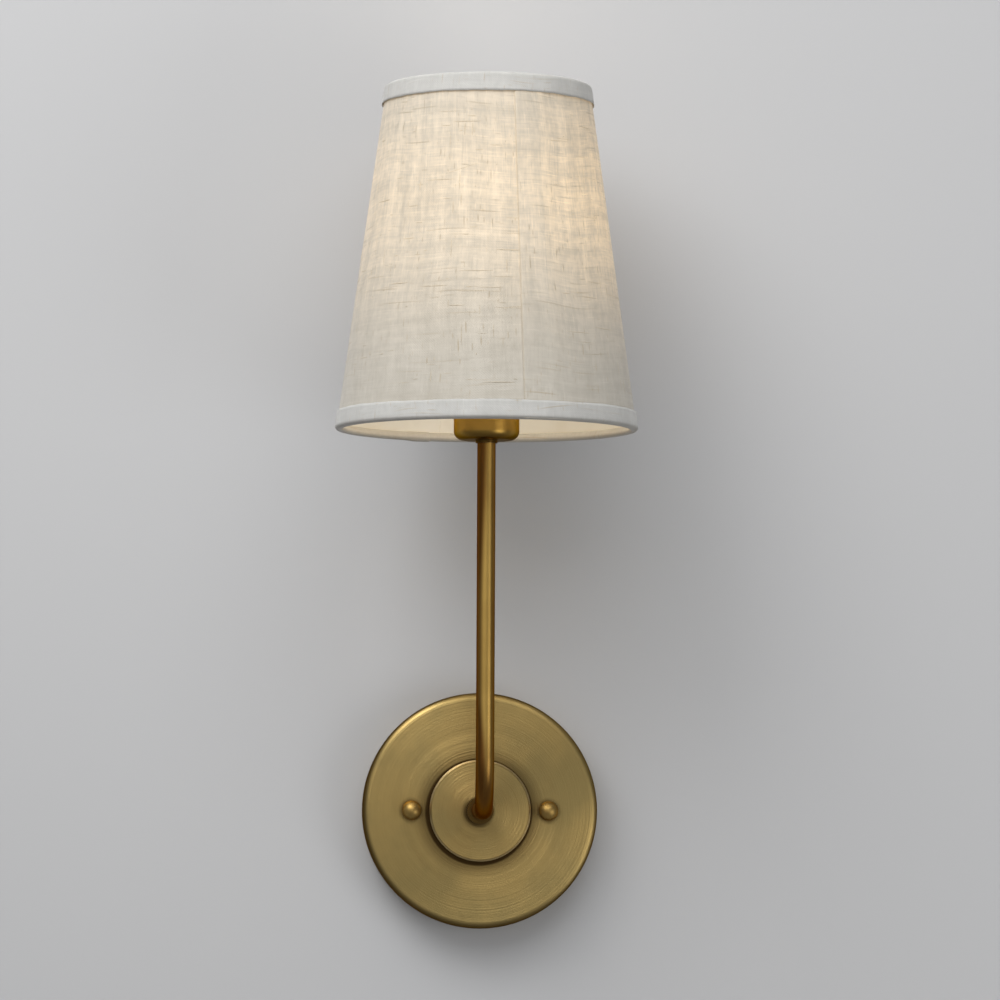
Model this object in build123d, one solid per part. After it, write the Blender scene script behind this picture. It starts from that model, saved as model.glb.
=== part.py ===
"""Fabric shade wall light: round brass backplate, bent tube arm, screw lamp socket, linen shade.

Millimetres. X runs to the right, Y into the wall and Z up. The origin is the centre of the
backplate's wall face. Pieces on the wall are turned about an axis that leaves the wall, with
their heights counted out from it. Pieces of the socket, lamp and shade are turned about the
upright lamp axis, with their heights counted up from the origin.
"""
from build123d import *
import math
import os

# ---- Backplate: a pressed pan with its open side on the wall ----
PLATE_DIAMETER = 120.65
PLATE_DEPTH = 24.0
PLATE_SHEET = 1.2
PLATE_EDGE_ROUND = 3.5

# ---- Raised disc in the middle of the backplate ----
DISC_DIAMETER = 52.0
DISC_THICKNESS = 5.0
DISC_CHAMFER = 1.1
DISC_RIM_WIDTH = 3.5
DISC_RECESS_DEPTH = 3.0
DISC_HUB_DIAMETER = 18.0

# ---- Arm: one bent tube between two threaded end collars ----
ARM_PROJECTION = 100.0
ARM_TUBE_DIAMETER = 9.2
ARM_TUBE_WALL = 0.9
ARM_BEND_RADIUS = 26.0
THREAD_DIAMETER = 10.0
THREAD_BORE = 7.0
THREAD_CLEARANCE = 0.05
ROOT_COLLAR_DIAMETER = 13.6
ROOT_COLLAR_HEIGHT = 3.0
ROOT_COLLAR_GROOVE_WIDTH = 0.5
ROOT_COLLAR_GROOVE_DEPTH = 0.4
ROOT_COLLAR_GROOVES = 2
ROOT_TUBE_SEAT = 2.0
ROOT_THREAD_SPARE = 2.0
NECK_COLLAR_DIAMETER = 11.0
NECK_COLLAR_HEIGHT = 1.4
NECK_TUBE_SEAT = 0.8
NUT_ACROSS_FLATS = 14.0
NUT_HEIGHT = 3.0
LOCK_WASHER_DIAMETER = 18.0
LOCK_WASHER_HEIGHT = 1.0
BUSHING_FLANGE = 1.2
BUSHING_SLEEVE = 5.0
BUSHING_BORE = 5.4

# ---- Crossbar and the fasteners that hold the backplate on it ----
CROSSBAR_LENGTH = 108.0
CROSSBAR_WIDTH = 18.0
CROSSBAR_SHEET = 1.6
CROSSBAR_CORNER = 4.0
BOX_SCREW_SPACING = 88.9
BOX_SLOT_WIDTH = 4.6
BOX_SLOT_LENGTH = 10.0
STUD_SPACING = 69.85
STUD_DIAMETER = 4.16
STUD_CLEARANCE = 0.06
STUD_CHAMFER = 0.4
STUD_INTO_KNOB = 7.0
PLATE_STUD_HOLE = 5.2
STUD_NUT_ACROSS_FLATS = 8.7
STUD_NUT_HEIGHT = 3.2
KNOB_DIAMETER = 10.0
KNOB_NECK_DIAMETER = 7.0
KNOB_NECK_HEIGHT = 1.4
KNOB_BORE_DEPTH = 8.0

# ---- Earth bond between crossbar and backplate ----
EARTH_SCREW_X = -20.0
EARTH_SCREW_DIAMETER = 4.8
EARTH_SCREW_FLANGE = 9.6
EARTH_SCREW_FLANGE_HEIGHT = 1.0
EARTH_SCREW_ACROSS_FLATS = 8.0
EARTH_SCREW_HEAD = 3.0
LUG_SHEET = 0.8
LUG_DIAMETER = 15.0
LUG_TAIL_WIDTH = 4.0
LUG_TAIL_REACH = 13.0
LUG_BARREL_DIAMETER = 3.8
LUG_BARREL_LENGTH = 6.0

# ---- Leads and their connectors ----
LEAD_DIAMETER = 2.0
LEAD_PITCH = 2.3
LEAD_EXIT_RADIUS = 4.0
LEAD_TURN_RADIUS = 8.0
LEAD_TERMINAL_RADIUS = 3.0
LEAD_PAST_TERMINAL = 3.0
LEAD_BEFORE_TERMINAL = 2.0
EARTH_LEAD_RADIUS = 6.0
EARTH_LEAD_DROP = 12.0
EARTH_LEAD_IN_BARREL = 4.0
EARTH_LEAD_PAST_SCREW = 3.2
CONNECTOR_X = 14.0
CONNECTOR_Z = 24.0
CONNECTOR_LENGTH = 22.0
CONNECTOR_MOUTH_DIAMETER = 11.0
CONNECTOR_TIP_DIAMETER = 7.2
CONNECTOR_TIP_ROUND = 1.2
CONNECTOR_BORE = 8.0
CONNECTOR_BORE_DEPTH = 15.0
LEAD_INTO_CONNECTOR = 8.0
CONNECTOR_HEIGHT = 9.5

# ---- Shade: linen on a stiff liner, with folded tapes over two wire rings ----
SHADE_BOTTOM_DIAMETER = 152.0
SHADE_TOP_DIAMETER = 104.0
SHADE_HEIGHT = 173.0
SHADE_BOTTOM_Z = 189.0
LINEN_THICKNESS = 0.6
LINER_THICKNESS = 0.5
TRIM_THICKNESS = 0.5
TRIM_WIDTH = 9.5
TRIM_SPOKE_CLEARANCE = 0.1
RING_WIRE_DIAMETER = 2.0
RING_WIRE_GAP = 0.25

# ---- Cup and the three-piece insulating socket ----
CUP_DIAMETER = 32.8
CUP_HEIGHT = 24.0
CUP_SHEET = 1.0
CUP_EDGE_ROUND = 4.5
CUP_DROP = 4.7
CAP_CLEARANCE = 0.4
CAP_GAP = 0.2
CAP_WALL = 2.2
CAP_FLOOR = 3.0
CAP_HEIGHT = 23.3
CAP_THREAD_GRIP = 6.0
SHELL_ABOVE_CUP = 0.4
SHELL_FLANGE_DIAMETER = 42.0
SHELL_FLANGE_HEIGHT = 2.0
SHELL_THREAD_DIAMETER = 38.4
SHELL_THREAD_LENGTH = 18.6
SHELL_TOP_DIAMETER = 36.4
SHELL_TOP_HEIGHT = 11.0
SHELL_LIP_HEIGHT = 2.0
SHELL_MOUTH_DIAMETER = 28.4
SOCKET_FIT = 0.1
INSERT_STEP = 0.2
INSERT_DISC_HEIGHT = 4.0
INSERT_BOSS_HEIGHT = 7.5
TERMINAL_X = 7.0
TERMINAL_SHANK_DIAMETER = 3.2
TERMINAL_SHANK_GRIP = 6.0
TERMINAL_HEAD_DIAMETER = 6.0
TERMINAL_HEAD_HEIGHT = 2.0
SCREW_SHELL_SHEET = 0.35
SCREW_SHELL_HEIGHT = 22.0
SCREW_SHELL_LEDGE = 4.0
LAMP_CLEARANCE = 0.3
CONTACT_SHEET = 0.5
CONTACT_WIDTH = 6.0
CONTACT_RISE = 0.8
CONTACT_HEEL = -6.0
CONTACT_BEND = -2.5
CONTACT_TOE = 4.0
CONTACT_RIVET_DIAMETER = 3.0
CONTACT_RIVET = -4.4
CONTACT_GAP = 0.2

# ---- Ring nut and the shade's wire fitter ----
FITTER_SHEET = 1.5
FITTER_OUTER_DIAMETER = 52.0
FITTER_CLEARANCE = 0.4
RING_NUT_FLANGE_MARGIN = 2.0
RING_NUT_FLANGE_HEIGHT = 1.8
RING_NUT_HUB_DIAMETER = 43.2
RING_NUT_HEIGHT = 6.0
RING_NUT_NOTCHES = 8
RING_NUT_NOTCH_DIAMETER = 4.0
RING_NUT_NOTCH_DEPTH = 1.0
SPOKE_COUNT = 3
SPOKE_DIAMETER = 2.2
SPOKE_WELD = 0.8
SPOKE_STRAIGHT = 6.0
SPOKE_BEND_RADIUS = 8.0

# ---- Lamp: medium screw base with an opaque neck and a frosted dome ----
LAMP_LENGTH = 110.0
LAMP_DIAMETER = 60.0
LAMP_THREAD_CREST = 26.1
LAMP_THREAD_ROOT = 24.7
LAMP_THREAD_PITCH = 3.63
LAMP_THREAD_TURNS = 5
LAMP_CREST_WIDTH = 0.7
LAMP_BASE_SHEET = 0.4
LAMP_TIP_DIAMETER = 9.6
LAMP_TIP_FLAT_DIAMETER = 4.8
LAMP_TIP_HEIGHT = 1.2
LAMP_INSULATOR_HEIGHT = 3.3
LAMP_COLLAR_HEIGHT = 1.6
LAMP_NECK_DIAMETER = 27.0
LAMP_NECK_HEIGHT = 3.0
LAMP_HOUSING_HEIGHT = 32.0
LAMP_WALL = 1.2
LED_BOARD_SHEET = 1.5
LED_BOARD_CLEARANCE = 0.4
LED_COUNT = 8
LED_SIZE = 3.0
LED_HEIGHT = 0.8
LED_CIRCLE_DIAMETER = 24.0
DRIVER_WIDTH = 14.0
DRIVER_HEIGHT = 26.0
DRIVER_SHEET = 1.4

# ---- Places that follow from the sizes above ----
plate_radius = PLATE_DIAMETER / 2
plate_inner_height = PLATE_DEPTH - PLATE_SHEET
disc_top = PLATE_DEPTH + DISC_THICKNESS
root_collar_top = disc_top + ROOT_COLLAR_HEIGHT
thread_radius = THREAD_DIAMETER / 2
thread_hole_radius = thread_radius + THREAD_CLEARANCE
tube_radius = ARM_TUBE_DIAMETER / 2
washer_height = plate_inner_height - LOCK_WASHER_HEIGHT
lug_height = washer_height - LUG_SHEET
lock_nut_height = lug_height - NUT_HEIGHT
lug_barrel_height = lug_height + LUG_SHEET - LUG_BARREL_DIAMETER / 2
root_thread_end = lock_nut_height - ROOT_THREAD_SPARE

cup_bottom = SHADE_BOTTOM_Z - CUP_DROP
cup_floor = cup_bottom + CUP_SHEET
cup_rim = cup_bottom + CUP_HEIGHT
cap_radius = CUP_DIAMETER / 2 - CUP_SHEET - CAP_CLEARANCE
cap_bottom = cup_floor + NUT_HEIGHT + CAP_GAP
cap_top = cap_bottom + CAP_HEIGHT
cap_inner_radius = cap_radius - CAP_WALL
neck_thread_end = cap_bottom + CAP_THREAD_GRIP
insert_top = cap_top + INSERT_DISC_HEIGHT
insert_bottom = cap_top - INSERT_BOSS_HEIGHT
shell_bottom = cup_rim + SHELL_ABOVE_CUP
shell_seat = shell_bottom + SHELL_FLANGE_HEIGHT
shell_thread_top = shell_seat + SHELL_THREAD_LENGTH
shell_top = shell_thread_top + SHELL_TOP_HEIGHT
shell_thread_radius = SHELL_THREAD_DIAMETER / 2
contact_top = insert_top + CONTACT_SHEET + CONTACT_RISE
lamp_tip = contact_top + CONTACT_GAP
lamp_top = lamp_tip + LAMP_LENGTH
lamp_radius = LAMP_DIAMETER / 2
lamp_centre = lamp_top - lamp_radius
base_bottom = lamp_tip + LAMP_TIP_HEIGHT + LAMP_INSULATOR_HEIGHT
base_top = base_bottom + LAMP_THREAD_PITCH * LAMP_THREAD_TURNS + LAMP_COLLAR_HEIGHT
lamp_split = base_top + LAMP_HOUSING_HEIGHT
fitter_top = shell_seat + FITTER_SHEET
shade_top = SHADE_BOTTOM_Z + SHADE_HEIGHT
shade_skin = TRIM_THICKNESS + LINEN_THICKNESS + LINER_THICKNESS
bottom_ring_z = SHADE_BOTTOM_Z + TRIM_THICKNESS + RING_WIRE_DIAMETER / 2
top_ring_z = shade_top - TRIM_THICKNESS - RING_WIRE_DIAMETER / 2


def shade_radius(height):
    """Outer radius of the finished shade at a height above the origin."""
    share = (height - SHADE_BOTTOM_Z) / SHADE_HEIGHT
    return (SHADE_BOTTOM_DIAMETER + (SHADE_TOP_DIAMETER - SHADE_BOTTOM_DIAMETER) * share) / 2


ring_wire_inset = shade_skin + RING_WIRE_GAP + RING_WIRE_DIAMETER / 2
bottom_ring_radius = shade_radius(bottom_ring_z) - ring_wire_inset
top_ring_radius = shade_radius(shade_top) - ring_wire_inset


def save(shape, node):
    """Write one piece under its own name."""
    export_step(shape, f"parts/{node}.step")


def turned(outline, rounds=()):
    """Turn a closed outline of (radius, height) points about Z.

    rounds lists (corner number, radius) for the corners of the outline that are rounded.
    """
    face = make_face(Polyline(*outline, close=True))
    for corner, radius in rounds:
        spot = Vector(*outline[corner])
        face = fillet(face.vertices().sort_by_distance(spot)[0], radius)
    return revolve(Plane.XZ * face, Axis.Z)


def ring(inner_radius, outer_radius, bottom, top):
    """Flat ring or tube about Z."""
    outline = [(inner_radius, bottom), (outer_radius, bottom), (outer_radius, top), (inner_radius, top)]
    return turned(outline)


def from_wall(shape):
    """Point a piece made along +Z away from the wall, along -Y."""
    return Rot(X=90) * shape


def on_lamp_axis(shape):
    """Stand a piece made about Z on the upright lamp axis."""
    return Pos(0, -ARM_PROJECTION, 0) * shape


def hexagon(across_flats):
    return RegularPolygon(across_flats / 2, 6, major_radius=False)


def hex_nut(across_flats, hole_radius, bottom, height):
    """Plain hexagon nut about Z."""
    return Pos(0, 0, bottom) * extrude(hexagon(across_flats) - Circle(hole_radius), height)


def rod(points, radii, diameter):
    """Round rod along straight runs joined by tangent arcs."""
    path = FilletPolyline(*points, radius=radii)
    return sweep((path ^ 0) * Circle(diameter / 2), path=path)


# ---------------------------------------------------------------- wall pieces
def make_backplate():
    inner = plate_radius - PLATE_SHEET
    outline = [
        (thread_hole_radius, plate_inner_height),
        (inner, plate_inner_height),
        (inner, 0),
        (plate_radius, 0),
        (plate_radius, PLATE_DEPTH),
        (thread_hole_radius, PLATE_DEPTH),
    ]
    pan = turned(outline, [(4, PLATE_EDGE_ROUND), (1, PLATE_EDGE_ROUND - PLATE_SHEET)])
    for side in (-1, 1):
        pan -= Pos(side * STUD_SPACING / 2, 0, 0) * Cylinder(PLATE_STUD_HOLE / 2, 2 * PLATE_DEPTH + 2)
    return from_wall(pan)


def make_centre_disc():
    radius = DISC_DIAMETER / 2
    recess_top = PLATE_DEPTH + DISC_RECESS_DEPTH
    outline = [
        (thread_hole_radius, PLATE_DEPTH),
        (DISC_HUB_DIAMETER / 2, PLATE_DEPTH),
        (DISC_HUB_DIAMETER / 2, recess_top),
        (radius - DISC_RIM_WIDTH, recess_top),
        (radius - DISC_RIM_WIDTH, PLATE_DEPTH),
        (radius, PLATE_DEPTH),
        (radius, disc_top - DISC_CHAMFER),
        (radius - DISC_CHAMFER, disc_top),
        (thread_hole_radius, disc_top),
    ]
    return from_wall(turned(outline))


def make_root_collar():
    radius = ROOT_COLLAR_DIAMETER / 2
    bore = THREAD_BORE / 2
    seat = root_collar_top - ROOT_TUBE_SEAT
    outline = [
        (bore, root_thread_end),
        (thread_radius, root_thread_end),
        (thread_radius, disc_top),
        (radius, disc_top),
        (radius, root_collar_top),
        (tube_radius, root_collar_top),
        (tube_radius, seat),
        (bore, seat),
    ]
    collar = turned(outline)
    step = ROOT_COLLAR_HEIGHT / (ROOT_COLLAR_GROOVES + 1)
    for number in range(1, ROOT_COLLAR_GROOVES + 1):
        low = disc_top + step * number - ROOT_COLLAR_GROOVE_WIDTH / 2
        high = low + ROOT_COLLAR_GROOVE_WIDTH
        collar -= ring(radius - ROOT_COLLAR_GROOVE_DEPTH, radius + 1, low, high)
    return from_wall(collar)


def make_arm_tube():
    start = (0, -(root_collar_top - ROOT_TUBE_SEAT), 0)
    corner = (0, -ARM_PROJECTION, 0)
    end = (0, -ARM_PROJECTION, cup_bottom - NECK_COLLAR_HEIGHT + NECK_TUBE_SEAT)
    outer = rod([start, corner, end], ARM_BEND_RADIUS, ARM_TUBE_DIAMETER)
    return outer - rod([start, corner, end], ARM_BEND_RADIUS, ARM_TUBE_DIAMETER - 2 * ARM_TUBE_WALL)


def make_lock_washer():
    return from_wall(ring(thread_hole_radius, LOCK_WASHER_DIAMETER / 2, washer_height, plate_inner_height))


def make_lock_nut():
    return from_wall(hex_nut(NUT_ACROSS_FLATS, thread_hole_radius, lock_nut_height, NUT_HEIGHT))


def make_ground_lug():
    flat = Circle(LUG_DIAMETER / 2) + Pos(0, -LUG_TAIL_REACH / 2) * Rectangle(LUG_TAIL_WIDTH, LUG_TAIL_REACH)
    flat -= Circle(thread_hole_radius)
    plate = Pos(0, 0, lug_height) * extrude(flat, LUG_SHEET)
    barrel_place = Pos(0, -LUG_TAIL_REACH, lug_barrel_height) * Rot(X=90)
    barrel = extrude(Circle(LUG_BARREL_DIAMETER / 2) - Circle(LEAD_DIAMETER / 2), LUG_BARREL_LENGTH)
    return from_wall(plate + barrel_place * barrel)


def make_lead_bushing():
    bore = BUSHING_BORE / 2
    sleeve = THREAD_BORE / 2 - THREAD_CLEARANCE
    outline = [
        (bore, root_thread_end - BUSHING_FLANGE),
        (thread_radius, root_thread_end - BUSHING_FLANGE),
        (thread_radius, root_thread_end),
        (sleeve, root_thread_end),
        (sleeve, root_thread_end + BUSHING_SLEEVE),
        (bore, root_thread_end + BUSHING_SLEEVE),
    ]
    return from_wall(turned(outline))


def make_crossbar():
    bar = RectangleRounded(CROSSBAR_LENGTH, CROSSBAR_WIDTH, CROSSBAR_CORNER)
    for side in (-1, 1):
        bar -= Pos(side * BOX_SCREW_SPACING / 2, 0) * SlotOverall(BOX_SLOT_LENGTH, BOX_SLOT_WIDTH)
        bar -= Pos(side * STUD_SPACING / 2, 0) * Circle(STUD_DIAMETER / 2 + STUD_CLEARANCE)
    bar -= Pos(EARTH_SCREW_X, 0) * Circle(EARTH_SCREW_DIAMETER / 2 + THREAD_CLEARANCE)
    return from_wall(extrude(bar, CROSSBAR_SHEET))


def make_mounting_studs():
    stud = extrude(Circle(STUD_DIAMETER / 2), PLATE_DEPTH + STUD_INTO_KNOB)
    stud = chamfer(stud.edges().group_by(Axis.Z)[-1], STUD_CHAMFER)
    return [from_wall(Pos(side * STUD_SPACING / 2, 0, 0) * stud) for side in (-1, 1)]


def make_stud_nuts():
    hole = STUD_DIAMETER / 2 + STUD_CLEARANCE
    nut = hex_nut(STUD_NUT_ACROSS_FLATS, hole, CROSSBAR_SHEET, STUD_NUT_HEIGHT)
    return [from_wall(Pos(side * STUD_SPACING / 2, 0, 0) * nut) for side in (-1, 1)]


def make_ball_knob(side):
    """Ball cap nut: a ball on a short neck that bears on the backplate, bored blind for the stud."""
    neck = Cylinder(KNOB_NECK_DIAMETER / 2, KNOB_DIAMETER / 2, align=(Align.CENTER, Align.CENTER, Align.MIN))
    drop = math.sqrt(KNOB_DIAMETER ** 2 - KNOB_NECK_DIAMETER ** 2) / 2
    ball = Pos(0, 0, KNOB_NECK_HEIGHT + drop) * Sphere(KNOB_DIAMETER / 2)
    bore_radius = STUD_DIAMETER / 2 + STUD_CLEARANCE
    bore = Cylinder(bore_radius, KNOB_BORE_DEPTH, align=(Align.CENTER, Align.CENTER, Align.MIN))
    below = Pos(0, 0, -KNOB_DIAMETER) * Cylinder(KNOB_DIAMETER, 2 * KNOB_DIAMETER)
    knob = neck + ball - bore - below
    return from_wall(Pos(side * STUD_SPACING / 2, 0, PLATE_DEPTH) * knob)


def make_ground_screw():
    radius = EARTH_SCREW_DIAMETER / 2
    flange_bottom = CROSSBAR_SHEET + LEAD_DIAMETER
    flange_top = flange_bottom + EARTH_SCREW_FLANGE_HEIGHT
    shank = ring(0, radius, 0, flange_bottom)
    flange = ring(0, EARTH_SCREW_FLANGE / 2, flange_bottom, flange_top)
    head = Pos(0, 0, flange_top) * extrude(hexagon(EARTH_SCREW_ACROSS_FLATS), EARTH_SCREW_HEAD)
    return from_wall(Pos(EARTH_SCREW_X, 0, 0) * (shank + flange + head))


# ------------------------------------------------------------- leads
def make_ground_lead():
    """From the lug's barrel, down past the crossbar and up beside the earth screw's shank."""
    lug_y = -lug_barrel_height
    start_z = EARTH_LEAD_IN_BARREL - LUG_TAIL_REACH - LUG_BARREL_LENGTH
    low_z = start_z - EARTH_LEAD_DROP
    screw_x = EARTH_SCREW_X - EARTH_SCREW_DIAMETER / 2 - LEAD_DIAMETER / 2
    screw_y = -(CROSSBAR_SHEET + LEAD_DIAMETER / 2)
    points = [
        (0, lug_y, start_z),
        (0, lug_y, low_z),
        (screw_x, screw_y, low_z),
        (screw_x, screw_y, EARTH_LEAD_PAST_SCREW),
    ]
    return rod(points, EARTH_LEAD_RADIUS, LEAD_DIAMETER)


def lead_points(side):
    """Route of one mains lead from its terminal through the arm to its connector."""
    x = side * LEAD_PITCH / 2
    terminal_z = insert_bottom - LEAD_DIAMETER / 2
    beside_shank = (TERMINAL_SHANK_DIAMETER + LEAD_DIAMETER) / 2 + SOCKET_FIT
    return [
        (side * (TERMINAL_X + LEAD_PAST_TERMINAL), beside_shank - ARM_PROJECTION, terminal_z),
        (side * (TERMINAL_X - LEAD_BEFORE_TERMINAL), beside_shank - ARM_PROJECTION, terminal_z),
        (x, -ARM_PROJECTION, terminal_z),
        (x, -ARM_PROJECTION, 0),
        (x, -CONNECTOR_HEIGHT, 0),
        (x, -CONNECTOR_HEIGHT, CONNECTOR_Z),
        (side * (CONNECTOR_X + LEAD_INTO_CONNECTOR), -CONNECTOR_HEIGHT, CONNECTOR_Z),
    ]


def make_mains_lead(side):
    radii = [
        LEAD_TERMINAL_RADIUS,
        LEAD_TERMINAL_RADIUS,
        ARM_BEND_RADIUS,
        LEAD_EXIT_RADIUS,
        LEAD_TURN_RADIUS,
    ]
    return rod(lead_points(side), radii, LEAD_DIAMETER)


def make_wire_connectors():
    """Two hollow twist-on connectors lying along X, mouths towards the middle."""
    outline = [
        (CONNECTOR_BORE / 2, 0),
        (CONNECTOR_MOUTH_DIAMETER / 2, 0),
        (CONNECTOR_TIP_DIAMETER / 2, CONNECTOR_LENGTH),
        (0, CONNECTOR_LENGTH),
        (0, CONNECTOR_BORE_DEPTH),
        (CONNECTOR_BORE / 2, CONNECTOR_BORE_DEPTH),
    ]
    cone = turned(outline, [(2, CONNECTOR_TIP_ROUND)])
    connectors = []
    for side in (-1, 1):
        place = Pos(side * CONNECTOR_X, -CONNECTOR_HEIGHT, CONNECTOR_Z)
        connectors.append(place * Rot(Y=side * 90) * cone)
    return connectors


# ------------------------------------------------------------- cup and socket
def make_neck_collar():
    bore = THREAD_BORE / 2
    radius = NECK_COLLAR_DIAMETER / 2
    bottom = cup_bottom - NECK_COLLAR_HEIGHT
    outline = [
        (tube_radius, bottom),
        (radius, bottom),
        (radius, cup_bottom),
        (thread_radius, cup_bottom),
        (thread_radius, neck_thread_end),
        (bore, neck_thread_end),
        (bore, bottom + NECK_TUBE_SEAT),
        (tube_radius, bottom + NECK_TUBE_SEAT),
    ]
    return on_lamp_axis(turned(outline))


def make_socket_cup():
    radius = CUP_DIAMETER / 2
    outline = [
        (thread_hole_radius, cup_bottom),
        (radius, cup_bottom),
        (radius, cup_rim),
        (radius - CUP_SHEET, cup_rim),
        (radius - CUP_SHEET, cup_floor),
        (thread_hole_radius, cup_floor),
    ]
    rounds = [(1, CUP_EDGE_ROUND), (4, CUP_EDGE_ROUND - CUP_SHEET)]
    return on_lamp_axis(turned(outline, rounds))


def make_cup_nut():
    return on_lamp_axis(hex_nut(NUT_ACROSS_FLATS, thread_hole_radius, cup_floor, NUT_HEIGHT))


def make_socket_cap():
    outline = [
        (thread_hole_radius, cap_bottom),
        (cap_radius, cap_bottom),
        (cap_radius, cap_top),
        (cap_inner_radius, cap_top),
        (cap_inner_radius, cap_bottom + CAP_FLOOR),
        (thread_hole_radius, cap_bottom + CAP_FLOOR),
    ]
    return on_lamp_axis(turned(outline, [(1, CUP_EDGE_ROUND - CUP_SHEET)]))


def make_socket_shell():
    insert_bore = cap_radius + INSERT_STEP + SOCKET_FIT
    outline = [
        (cap_radius + SOCKET_FIT, shell_bottom),
        (SHELL_FLANGE_DIAMETER / 2, shell_bottom),
        (SHELL_FLANGE_DIAMETER / 2, shell_seat),
        (shell_thread_radius, shell_seat),
        (shell_thread_radius, shell_thread_top),
        (SHELL_TOP_DIAMETER / 2, shell_thread_top),
        (SHELL_TOP_DIAMETER / 2, shell_top),
        (SHELL_MOUTH_DIAMETER / 2, shell_top),
        (SHELL_MOUTH_DIAMETER / 2, shell_top - SHELL_LIP_HEIGHT),
        (insert_bore, shell_top - SHELL_LIP_HEIGHT),
        (insert_bore, cap_top),
        (cap_radius + SOCKET_FIT, cap_top),
    ]
    return on_lamp_axis(turned(outline))


def make_socket_insert():
    boss = cap_inner_radius - INSERT_STEP
    disc = cap_radius + INSERT_STEP
    insert = ring(0, boss, insert_bottom, cap_top) + ring(0, disc, cap_top, insert_top)
    for side in (-1, 1):
        hole = ring(0, TERMINAL_SHANK_DIAMETER / 2, insert_bottom, insert_bottom + TERMINAL_SHANK_GRIP)
        insert -= Pos(side * TERMINAL_X, 0, 0) * hole
    rivet_hole = ring(0, CONTACT_RIVET_DIAMETER / 2, insert_bottom - 1, insert_top + 1)
    insert -= Pos(0, CONTACT_RIVET, 0) * rivet_hole
    return on_lamp_axis(insert)


def make_screw_shell():
    inner = LAMP_THREAD_CREST / 2 + LAMP_CLEARANCE
    outer = inner + SCREW_SHELL_SHEET
    top = insert_top + SCREW_SHELL_HEIGHT
    outline = [
        (inner - SCREW_SHELL_LEDGE, insert_top),
        (outer, insert_top),
        (outer, top),
        (inner, top),
        (inner, insert_top + SCREW_SHELL_SHEET),
        (inner - SCREW_SHELL_LEDGE, insert_top + SCREW_SHELL_SHEET),
    ]
    return on_lamp_axis(turned(outline))


def make_centre_contact():
    """Bent tongue held by a rivet, with its toe raised under the lamp's tip."""
    low = insert_top
    outline = [
        (CONTACT_HEEL, low),
        (CONTACT_BEND, low),
        (CONTACT_TOE, low + CONTACT_RISE),
        (CONTACT_TOE, low + CONTACT_RISE + CONTACT_SHEET),
        (CONTACT_BEND, low + CONTACT_SHEET),
        (CONTACT_HEEL, low + CONTACT_SHEET),
    ]
    side = Plane.XZ * make_face(Polyline(*outline, close=True))
    tongue = extrude(side, CONTACT_WIDTH / 2, both=True)
    rivet = Pos(CONTACT_RIVET, 0, 0) * ring(0, CONTACT_RIVET_DIAMETER / 2, insert_bottom, insert_top)
    return on_lamp_axis(Rot(Z=90) * (tongue + rivet))


def make_terminal_screws():
    head_top = insert_bottom - LEAD_DIAMETER
    shank = ring(0, TERMINAL_SHANK_DIAMETER / 2, head_top, insert_bottom + TERMINAL_SHANK_GRIP)
    head = ring(0, TERMINAL_HEAD_DIAMETER / 2, head_top - TERMINAL_HEAD_HEIGHT, head_top)
    return [on_lamp_axis(Pos(side * TERMINAL_X, 0, 0) * (shank + head)) for side in (-1, 1)]


def make_shade_ring_nut():
    hole = shell_thread_radius + THREAD_CLEARANCE
    flange_radius = FITTER_OUTER_DIAMETER / 2 - RING_NUT_FLANGE_MARGIN
    flange_top = fitter_top + RING_NUT_FLANGE_HEIGHT
    outline = [
        (hole, fitter_top),
        (flange_radius, fitter_top),
        (flange_radius, flange_top),
        (RING_NUT_HUB_DIAMETER / 2, flange_top),
        (RING_NUT_HUB_DIAMETER / 2, fitter_top + RING_NUT_HEIGHT),
        (hole, fitter_top + RING_NUT_HEIGHT),
    ]
    nut = turned(outline)
    notch = Cylinder(RING_NUT_NOTCH_DIAMETER / 2, 2 * RING_NUT_HEIGHT)
    notch_circle = flange_radius + RING_NUT_NOTCH_DIAMETER / 2 - RING_NUT_NOTCH_DEPTH
    for place in PolarLocations(notch_circle, RING_NUT_NOTCHES):
        nut -= Pos(0, 0, fitter_top) * place * notch
    return on_lamp_axis(nut)


# ------------------------------------------------------------- shade
def make_fitter_ring():
    return on_lamp_axis(
        ring(shell_thread_radius + FITTER_CLEARANCE, FITTER_OUTER_DIAMETER / 2, shell_seat, fitter_top)
    )


def make_shade_spokes():
    """Wires from the edge of the fitter ring out and down onto the bottom ring wire."""
    hub_radius = FITTER_OUTER_DIAMETER / 2 - SPOKE_WELD
    hub_z = shell_seat + FITTER_SHEET / 2
    rim_z = bottom_ring_z + (RING_WIRE_DIAMETER + SPOKE_DIAMETER) / 2 - SPOKE_WELD / 2
    points = [
        (hub_radius, 0, hub_z),
        (hub_radius + SPOKE_STRAIGHT, 0, hub_z),
        (bottom_ring_radius - SPOKE_STRAIGHT, 0, rim_z),
        (bottom_ring_radius, 0, rim_z),
    ]
    spoke = rod(points, SPOKE_BEND_RADIUS, SPOKE_DIAMETER)
    turn = 360 / SPOKE_COUNT
    return [on_lamp_axis(Rot(Z=90 + number * turn) * spoke) for number in range(SPOKE_COUNT)]


def make_ring_wire(radius, height):
    return on_lamp_axis(Pos(0, 0, height) * Torus(radius, RING_WIRE_DIAMETER / 2))


def skin_between(outer_skin, thickness):
    """Tapered layer of the shade, a named depth under its finished surface."""
    low = SHADE_BOTTOM_Z + TRIM_THICKNESS
    high = shade_top - TRIM_THICKNESS
    outer_low = shade_radius(low) - outer_skin
    outer_high = shade_radius(high) - outer_skin
    outline = [
        (outer_low - thickness, low),
        (outer_low, low),
        (outer_high, high),
        (outer_high - thickness, high),
    ]
    return on_lamp_axis(turned(outline))


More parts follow.
